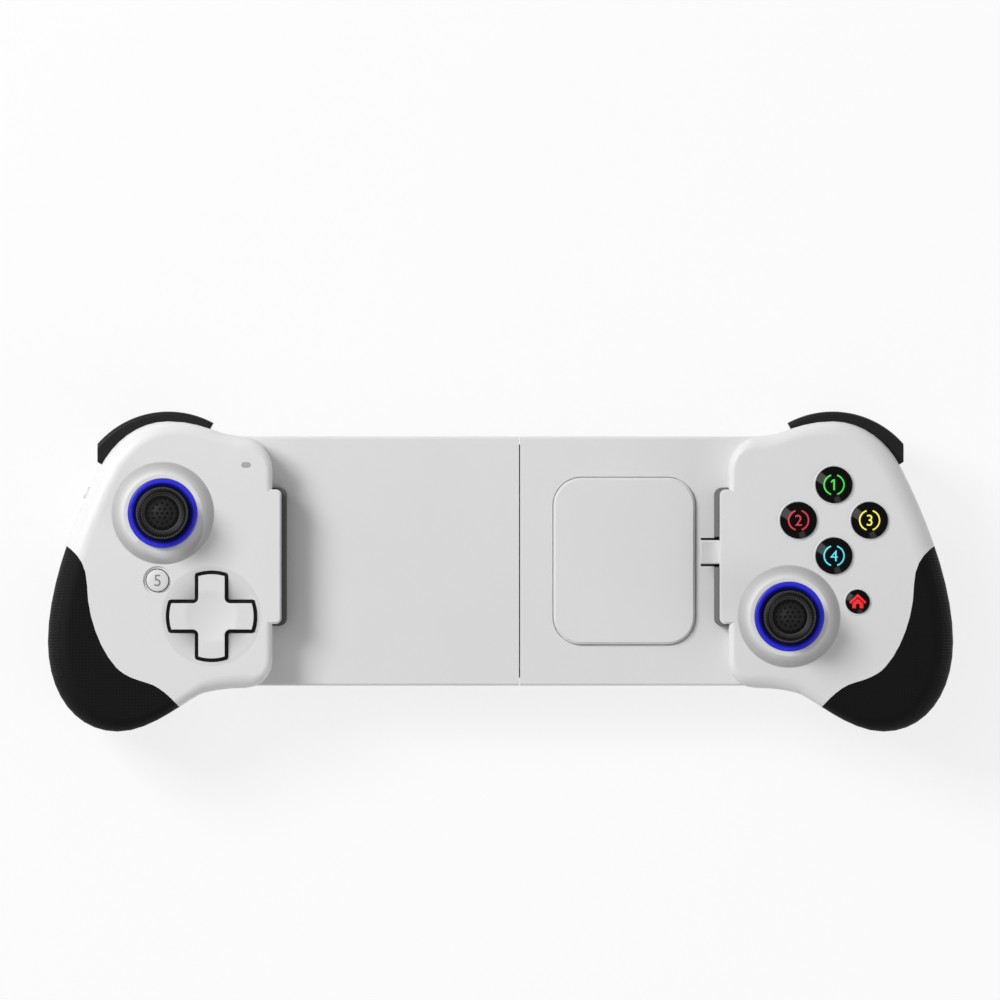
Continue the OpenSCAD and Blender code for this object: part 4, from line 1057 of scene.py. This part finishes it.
@dataclass
class Buttons:
    """Round buttons: smooth domes, plain numbers on them and the bright lips of their holes."""

    dome_drop_mm: float = 0.9
    face_mm: float = 5.2
    home_ball_mm: float = 11.5
    turbo_ball_mm: float = 20.6
    figure_mm: float = 3.2
    turbo_figure_mm: float = 3.4
    figure_share: float = 0.7
    ring_mm: float = 3.1
    ring_width_mm: float = 0.42
    ring_starts_deg: tuple[int, int] = (-72, 108)
    ring_steps: int = 18
    ring_step_deg: int = 8
    print_mm: float = 0.05
    cell_mm: float = 0.7
    shell_mm: float = 34.0
    flange_mm: float = 0.8
    lip_gap_mm: float = 0.06
    lip_mm: float = 0.6
    lip_rise_mm: float = 0.2
    lip_sink_mm: float = 0.02
    lip_turns: int = 64
    lip_steps: int = 6
    legends: tuple[Legend, ...] = (
        Legend("top_button", "top_key", "1", Ink("green legend ink", "#38DC46", shade="#30CA3E")),
        Legend("left_button", "left_key", "2", Ink("red legend ink", "#D8303A", shade="#C62A34")),
        Legend("right_button", "right_key", "3", Ink("yellow legend ink", "#F0EA4E", shade="#DED846")),
        Legend("bottom_button", "bottom_key", "4", Ink("cyan legend ink", "#48DCEE", shade="#40CADC")),
    )
    # The red pictogram has a stronger painted glow
    home_ink: Ink = Ink("red pictogram ink", "#E01822", shade="#CA141E", glow=0.5)
    turbo_ink: Ink = Ink("grey legend ink", "#8A8A8A", shade="#808080", glow=0.0)

    def build(self) -> None:
        """Dress the face buttons, the home button, the turbo button and the other keys."""
        ball_mm = (self.face_mm ** 2 + self.dome_drop_mm ** 2) / (2 * self.dome_drop_mm)
        for legend in self.legends:
            smooth_copy(legend.node)
            prints = {"ring": self.ring_mesh(), "number": self.figure(legend.number, self.figure_mm)}
            for label, flat in prints.items():
                self.on_dome(f"{legend.node}_{label}", flat, legend.node, legend.body, legend.ink, ball_mm)
            self.lip(legend.node)
        smooth_copy("home_button")
        self.on_dome("home_pictogram", self.house(), "home_button", "home_key", self.home_ink, self.home_ball_mm)
        self.lip("home_button")
        smooth_copy("turbo_button", bevel_mm=0.15)
        self.on_dome("turbo_number", self.figure("5", self.turbo_figure_mm), "turbo_button", "turbo_key",
                     self.turbo_ink, self.turbo_ball_mm)
        smooth_copy("dpad", bevel_mm=0.4)
        smooth_copy("side_key", bevel_mm=0.3, finish=FINISHES["shell_white"])
        smooth_copy("status_light", bevel_mm=0.1)

    def figure(self, number: str, height_mm: float) -> Mesh:
        """A numeral about the origin, as a flat mesh.

        Args:
            number: The digit.
            height_mm: Height of the digit.

        Returns:
            The mesh.
        """
        if number == "1":
            half = height_mm / 2
            return flat_shapes(((-0.24, -half), (0.24, -half), (0.24, half), (-0.24, half)),
                               ((-0.24, half), (-0.9, half - 0.55), (-0.9, half - 1.05), (-0.24, half - 0.6)))
        curve = bpy.data.curves.new("figure", "FONT")
        curve.body = number
        curve.align_x = "CENTER"
        curve.align_y = "CENTER"
        curve.size = height_mm * MM / self.figure_share
        curve.resolution_u = 6
        mesh = frozen(stand("figure", curve), "figure")
        xs = [v.co.x for v in mesh.vertices]
        ys = [v.co.y for v in mesh.vertices]
        mesh.transform(Matrix.Translation((-(min(xs) + max(xs)) / 2, -(min(ys) + max(ys)) / 2, 0)))
        return mesh

    def ring_mesh(self) -> Mesh:
        """A flat ring round the number, open at its top and foot as two arcs.

        Returns:
            The mesh.
        """
        work = bmesh.new()
        radii = ((self.ring_mm - self.ring_width_mm) * MM, self.ring_mm * MM)
        for start in self.ring_starts_deg:
            rows = []
            for k in range(self.ring_steps + 1):
                a = math.radians(start + k * self.ring_step_deg)
                rows.append([work.verts.new((r * math.cos(a), r * math.sin(a), 0)) for r in radii])
            for one, two in zip(rows, rows[1:]):
                work.faces.new((one[0], one[1], two[1], two[0]))
        return mesh_from(work, "legend_ring")

    def house(self) -> Mesh:
        """A plain house: a roof with eaves over a body with a doorway.

        Returns:
            The mesh.
        """
        return flat_shapes(
            ((-2.5, -0.1), (-2.05, -0.6), (0, 1.35), (0, 2.25)),
            ((0, 2.25), (0, 1.35), (2.05, -0.6), (2.5, -0.1)),
            ((-1.6, -0.5), (-1.6, -1.9), (-0.5, -1.9), (-0.5, 0.5)),
            ((1.6, -0.5), (0.5, 0.5), (0.5, -1.9), (1.6, -1.9)),
            ((-0.5, 0.5), (-0.5, -0.65), (0.5, -0.65), (0.5, 0.5), (0, 0.95)),
        )

    def on_dome(self, name: str, flat: Mesh, node: str, body: str, ink: Ink, ball_mm: float) -> None:
        """Lay a flat shape on a button's dome as a thin raised print.

        Args:
            name: Name of the piece.
            flat: The shape about the origin.
            node: The button's CAD node.
            body: The button's body.
            ink: Its finish.
            ball_mm: Radius of the dome.
        """
        ball = ball_mm * MM
        middle = centre_of(node)
        work = bmesh.new()
        work.from_mesh(flat)
        bmesh.ops.remove_doubles(work, verts=work.verts, dist=PRINT_MERGE)
        reach = int(self.face_mm / self.cell_mm)
        for axis in (Vector((1, 0, 0)), Vector((0, 1, 0))):
            for step in range(-reach, reach + 1):
                everything = work.verts[:] + work.edges[:] + work.faces[:]
                bmesh.ops.bisect_plane(work, geom=everything, plane_co=axis * step * self.cell_mm * MM,
                                       plane_no=axis)
        bmesh.ops.triangulate(work, faces=work.faces)
        bmesh.ops.recalc_face_normals(work, faces=work.faces)
        grown = bmesh.ops.extrude_face_region(work, geom=list(work.faces))
        lifted = {item for item in grown["geom"] if isinstance(item, bmesh.types.BMVert)}
        for vert in work.verts:
            lift = self.print_mm if vert in lifted else -2 * self.print_mm
            vert.co.z = math.sqrt(ball ** 2 - vert.co.x ** 2 - vert.co.y ** 2) - ball + lift * MM
        bmesh.ops.recalc_face_normals(work, faces=work.faces)
        mesh = mesh_from(work, name)
        mesh.transform(Matrix.Translation((middle.x, middle.y, top_of(node))))
        mesh.materials.append(ink.build())
        publish(name, mesh, body, SLOT_OF[node])

    def lip(self, node: str) -> None:
        """The rounded lip that the shell has round a button's hole, as a thin half-round ring.

        Args:
            node: The button's CAD node.
        """
        middle = centre_of(node)
        low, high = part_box(node)
        radius = (high[0] - low[0]) / 2 + (self.lip_gap_mm + self.lip_sink_mm - self.flange_mm) * MM
        work = bmesh.new()
        rows = []
        for k in range(self.lip_turns):
            a = 2 * math.pi * k / self.lip_turns
            row = []
            for s in range(self.lip_steps + 1):
                b = math.pi * s / self.lip_steps
                r = radius + self.lip_mm * MM * (1 - math.cos(b)) / 2
                rise = (self.lip_rise_mm * math.sin(b) - self.lip_sink_mm) * MM
                row.append(work.verts.new((r * math.cos(a), r * math.sin(a), rise)))
            rows.append(row)
        for one, two in zip(rows, rows[1:] + rows[:1]):
            for s in range(self.lip_steps):
                work.faces.new((one[s], one[s + 1], two[s + 1], two[s])).smooth = True
            work.faces.new((one[-1], one[0], two[0], two[-1]))
        bmesh.ops.recalc_face_normals(work, faces=work.faces)
        mesh = mesh_from(work, node + "_lip")
        mesh.transform(Matrix.Translation((middle.x, middle.y, self.shell_mm * MM)))
        publish(node + "_lip", mesh, "right_half", "button_white")


@dataclass
class Bridge:
    """The telescopic bridge: eased panels, the phone pad, the plug, and what stretches when it opens."""

    spring_wire_mm: float = 0.7
    spring_turns: float = 36.0

    def build(self) -> None:
        """Ease what shows, and lay the springs and the flat cable in place across both halves, attached to neither.
        """
        self.springs()
        smooth_copy("flex_cable", angle=30.0, across="right_half")
        for node in ("sleeve_front", "sleeve_back", "slider_front", "slider_back"):
            smooth_copy(node, bevel_mm=0.1)
        smooth_copy("phone_pad", bevel_mm=0.25)
        smooth_copy("slider_tongue")
        smooth_copy("plug_shell", bevel_mm=0.06)

    def springs(self) -> None:
        """Two round-wire coils in the channels of the tongue."""
        node = "return_springs"
        low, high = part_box(node)
        wire = self.spring_wire_mm / 2 * MM
        radius = (high[2] - low[2]) / 2 - wire
        points = bpy.data.meshes.new("spring_ends")
        points.from_pydata([(low[0] + wire, y, (low[2] + high[2]) / 2)
                            for y in (low[1] + radius + wire, high[1] - radius - wire)], [], [])
        mesh = SPRINGS.mesh(node, FINISHES[SLOT_OF[node]].build(), points, Turns=self.spring_turns, Radius=radius,
                            Wire=wire, Length=high[0] - low[0] - 2 * wire)
        publish(node + "_wound", mesh, BODY_OF[node], SLOT_OF[node], (node,), across="right_half")


@dataclass
class Fasteners:
    """Cross-recess screws in the wells of the back, in place of the plain ones of the solids."""

    head_mm: float = 2.2
    height_mm: float = 1.5
    shank_mm: float = 0.95
    cross_mm: float = 2.3
    slot_mm: float = 0.55
    sink_mm: float = 0.1
    nodes: tuple[str, ...] = ("left_shell_screws", "right_shell_screws", "sleeve_screws", "slider_screws")

    def build(self) -> None:
        """Stand one screw on the foot of each solid screw."""
        for node in self.nodes:
            low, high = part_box(node)
            mesh = SCREWS.mesh(
                node, FINISHES[SLOT_OF[node]].build(), self.feet(node), Head=self.head_mm * MM,
                Height=self.height_mm * MM, Cross=self.cross_mm * MM, Slot=self.slot_mm * MM,
                Shank=self.shank_mm * MM, Length=high[2] - low[2] - self.height_mm * MM, Sink=self.sink_mm * MM)
            publish(node + "_recessed", mesh, BODY_OF[node], SLOT_OF[node], (node,))

    def feet(self, node: str) -> Mesh:
        """Find where the solid screws stand.

        Args:
            node: The CAD node that holds the screws.

        Returns:
            A mesh with one point for each screw.
        """
        work = bmesh.new()
        work.from_mesh(NODES[node].data)
        bmesh.ops.remove_doubles(work, verts=work.verts, dist=MERGE)
        waiting = set(work.verts)
        points = []
        while waiting:
            island, edge = set(), [waiting.pop()]
            while edge:
                vert = edge.pop()
                island.add(vert)
                fresh = {link.other_vert(vert) for link in vert.link_edges} & waiting
                waiting -= fresh
                edge.extend(fresh)
            box = [[f(v.co[k] for v in island) for f in (min, max)] for k in range(3)]
            points.append((sum(box[0]) / 2, sum(box[1]) / 2, box[2][0]))
        work.free()
        mesh = bpy.data.meshes.new(node + "_feet")
        mesh.from_pydata(sorted(points), [], [])
        return mesh


@dataclass(frozen=True)
class Lamp:
    """A square soft lamp: where it hangs and its side in metres, and its power in watts."""

    name: str
    place: tuple[float, float, float]
    size: float
    watts: float


@dataclass
class Studio:
    """A pale floor, soft lamps and the camera over the face."""

    frame_px: int = 1000
    mm_per_px: float = 0.29
    face_mm: float = 34.0
    distance_mm: float = 3600.0
    middle_px: tuple[float, float] = (500.5, 571.5)
    sensor_mm: float = 36.0
    clip_m: float = 20.0
    floor_m: float = 12.0
    floor_drop_mm: float = 0.3
    floor_white: float = 0.8
    sky: float = 0.36
    wall_top: tuple[float, float] = (0.1, 0.75)
    ceiling: float = 0.08
    lamps: tuple[Lamp, ...] = (
        Lamp("key", (-1.35, 0.9, 1.36), 0.8, 35.0),
        Lamp("fill", (1.6, -0.8, 1.0), 1.0, 6.0),
        Lamp("upper_card", (-0.39, 0.29, 1.1), 0.4, 0.55),
        Lamp("lower_card", (0.28, -0.63, 1.1), 0.26, 0.1),
    )

    def build(self) -> None:
        """Make the whole studio."""
        self.camera()
        self.floor()
        self.world()
        for lamp in self.lamps:
            self.hang(lamp)
        bpy.context.scene.view_settings.view_transform = "Standard"

    def camera(self) -> None:
        """A long lens straight over the face, shifted so that the part lies below the frame's middle."""
        data = bpy.data.cameras.new("camera")
        data.sensor_width = self.sensor_mm
        data.lens = self.sensor_mm * self.distance_mm / (self.frame_px * self.mm_per_px)
        data.shift_x = (self.frame_px / 2 - self.middle_px[0]) / self.frame_px
        data.shift_y = (self.middle_px[1] - self.frame_px / 2) / self.frame_px
        data.clip_end = self.clip_m
        camera = stand("camera", data)
        camera.location = (0, 0, (self.face_mm + self.distance_mm) * MM)
        bpy.context.scene.camera = camera

    @staticmethod
    def seen(tree: Tree) -> Node:
        """Tell what is looked at, directly or in a mirror or glass, from what only gives light.

        Args:
            tree: The tree of the floor's material or of the world.

        Returns:
            The node that gives 1 for what is looked at.
        """
        path = add_node(tree, "ShaderNodeLightPath")
        plain = add_node(tree, "ShaderNodeMath", {
            0: path.outputs["Is Camera Ray"], 1: path.outputs["Is Glossy Ray"]}, operation="MAXIMUM")
        return add_node(tree, "ShaderNodeMath", {0: plain, 1: path.outputs["Is Transmission Ray"]},
                        operation="MAXIMUM")

    def floor(self) -> None:
        """A wide pale floor, lit plainly but seen as nearly white, with the part's shadow kept."""
        bpy.ops.mesh.primitive_plane_add(size=self.floor_m, location=(0, 0, -self.floor_drop_mm * MM))
        floor = bpy.context.object
        floor.name = "floor"
        material = bpy.data.materials.new("matt white paper sweep")
        material.use_nodes = True
        tree = material.node_tree
        tree.nodes.clear()
        paper = add_node(tree, "ShaderNodeBsdfDiffuse", {"Color": srgb("#F2F2F2")})
        light = add_node(tree, "ShaderNodeEmission", {"Color": srgb("#FFFFFF"), "Strength": 1.0})
        share = add_node(tree, "ShaderNodeMath", {0: self.seen(tree), 1: self.floor_white}, operation="MULTIPLY")
        mix = add_node(tree, "ShaderNodeMixShader", {0: share, 1: paper, 2: light})
        add_node(tree, "ShaderNodeOutputMaterial", {"Surface": mix})
        floor.data.materials.append(material)

    def world(self) -> None:
        """Dim even light; what is seen or mirrored of it is white walls under a dark ceiling."""
        world = bpy.data.worlds.new("studio")
        world.use_nodes = True
        tree = world.node_tree
        tree.nodes.clear()
        axes = add_node(tree, "ShaderNodeSeparateXYZ", {
            0: add_node(tree, "ShaderNodeTexCoord").outputs["Generated"]})
        walls = add_node(tree, "ShaderNodeMapRange", {
            "Value": axes.outputs["Z"], "From Min": self.wall_top[0], "From Max": self.wall_top[1],
            "To Min": 1.0, "To Max": self.ceiling})
        strength = add_node(tree, "ShaderNodeMapRange", {
            "Value": self.seen(tree), "To Min": self.sky, "To Max": walls})
        room = add_node(tree, "ShaderNodeBackground", {"Color": srgb("#FFFFFF"), "Strength": strength})
        add_node(tree, "ShaderNodeOutputWorld", {"Surface": room})
        bpy.context.scene.world = world

    def hang(self, lamp: Lamp) -> None:
        """Hang a lamp that looks at the part.

        Args:
            lamp: The lamp.
        """
        data = bpy.data.lights.new(lamp.name, "AREA")
        data.size = lamp.size
        data.energy = lamp.watts
        item = stand(lamp.name, data)
        item.location = lamp.place
        item.rotation_euler = (-Vector(lamp.place)).to_track_quat("-Z", "Y").to_euler()


def dress_nodes() -> None:
    """Give every CAD node that stays the finish of its slot."""
    for node, item in NODES.items():
        item.data.materials.clear()
        item.data.materials.append(FINISHES[SLOT_OF[node]].build())


def main() -> None:
    """Build the object's pieces in order, then the studio."""
    logging.basicConfig(level=logging.INFO, format="%(name)s: %(message)s")
    dress_nodes()
    for side in Side:
        Handle(side).build()
        Thumbstick(side).build()
    Buttons().build()
    Bridge().build()
    Fasteners().build()
    Studio().build()


if __name__ == "__main__":
    main()
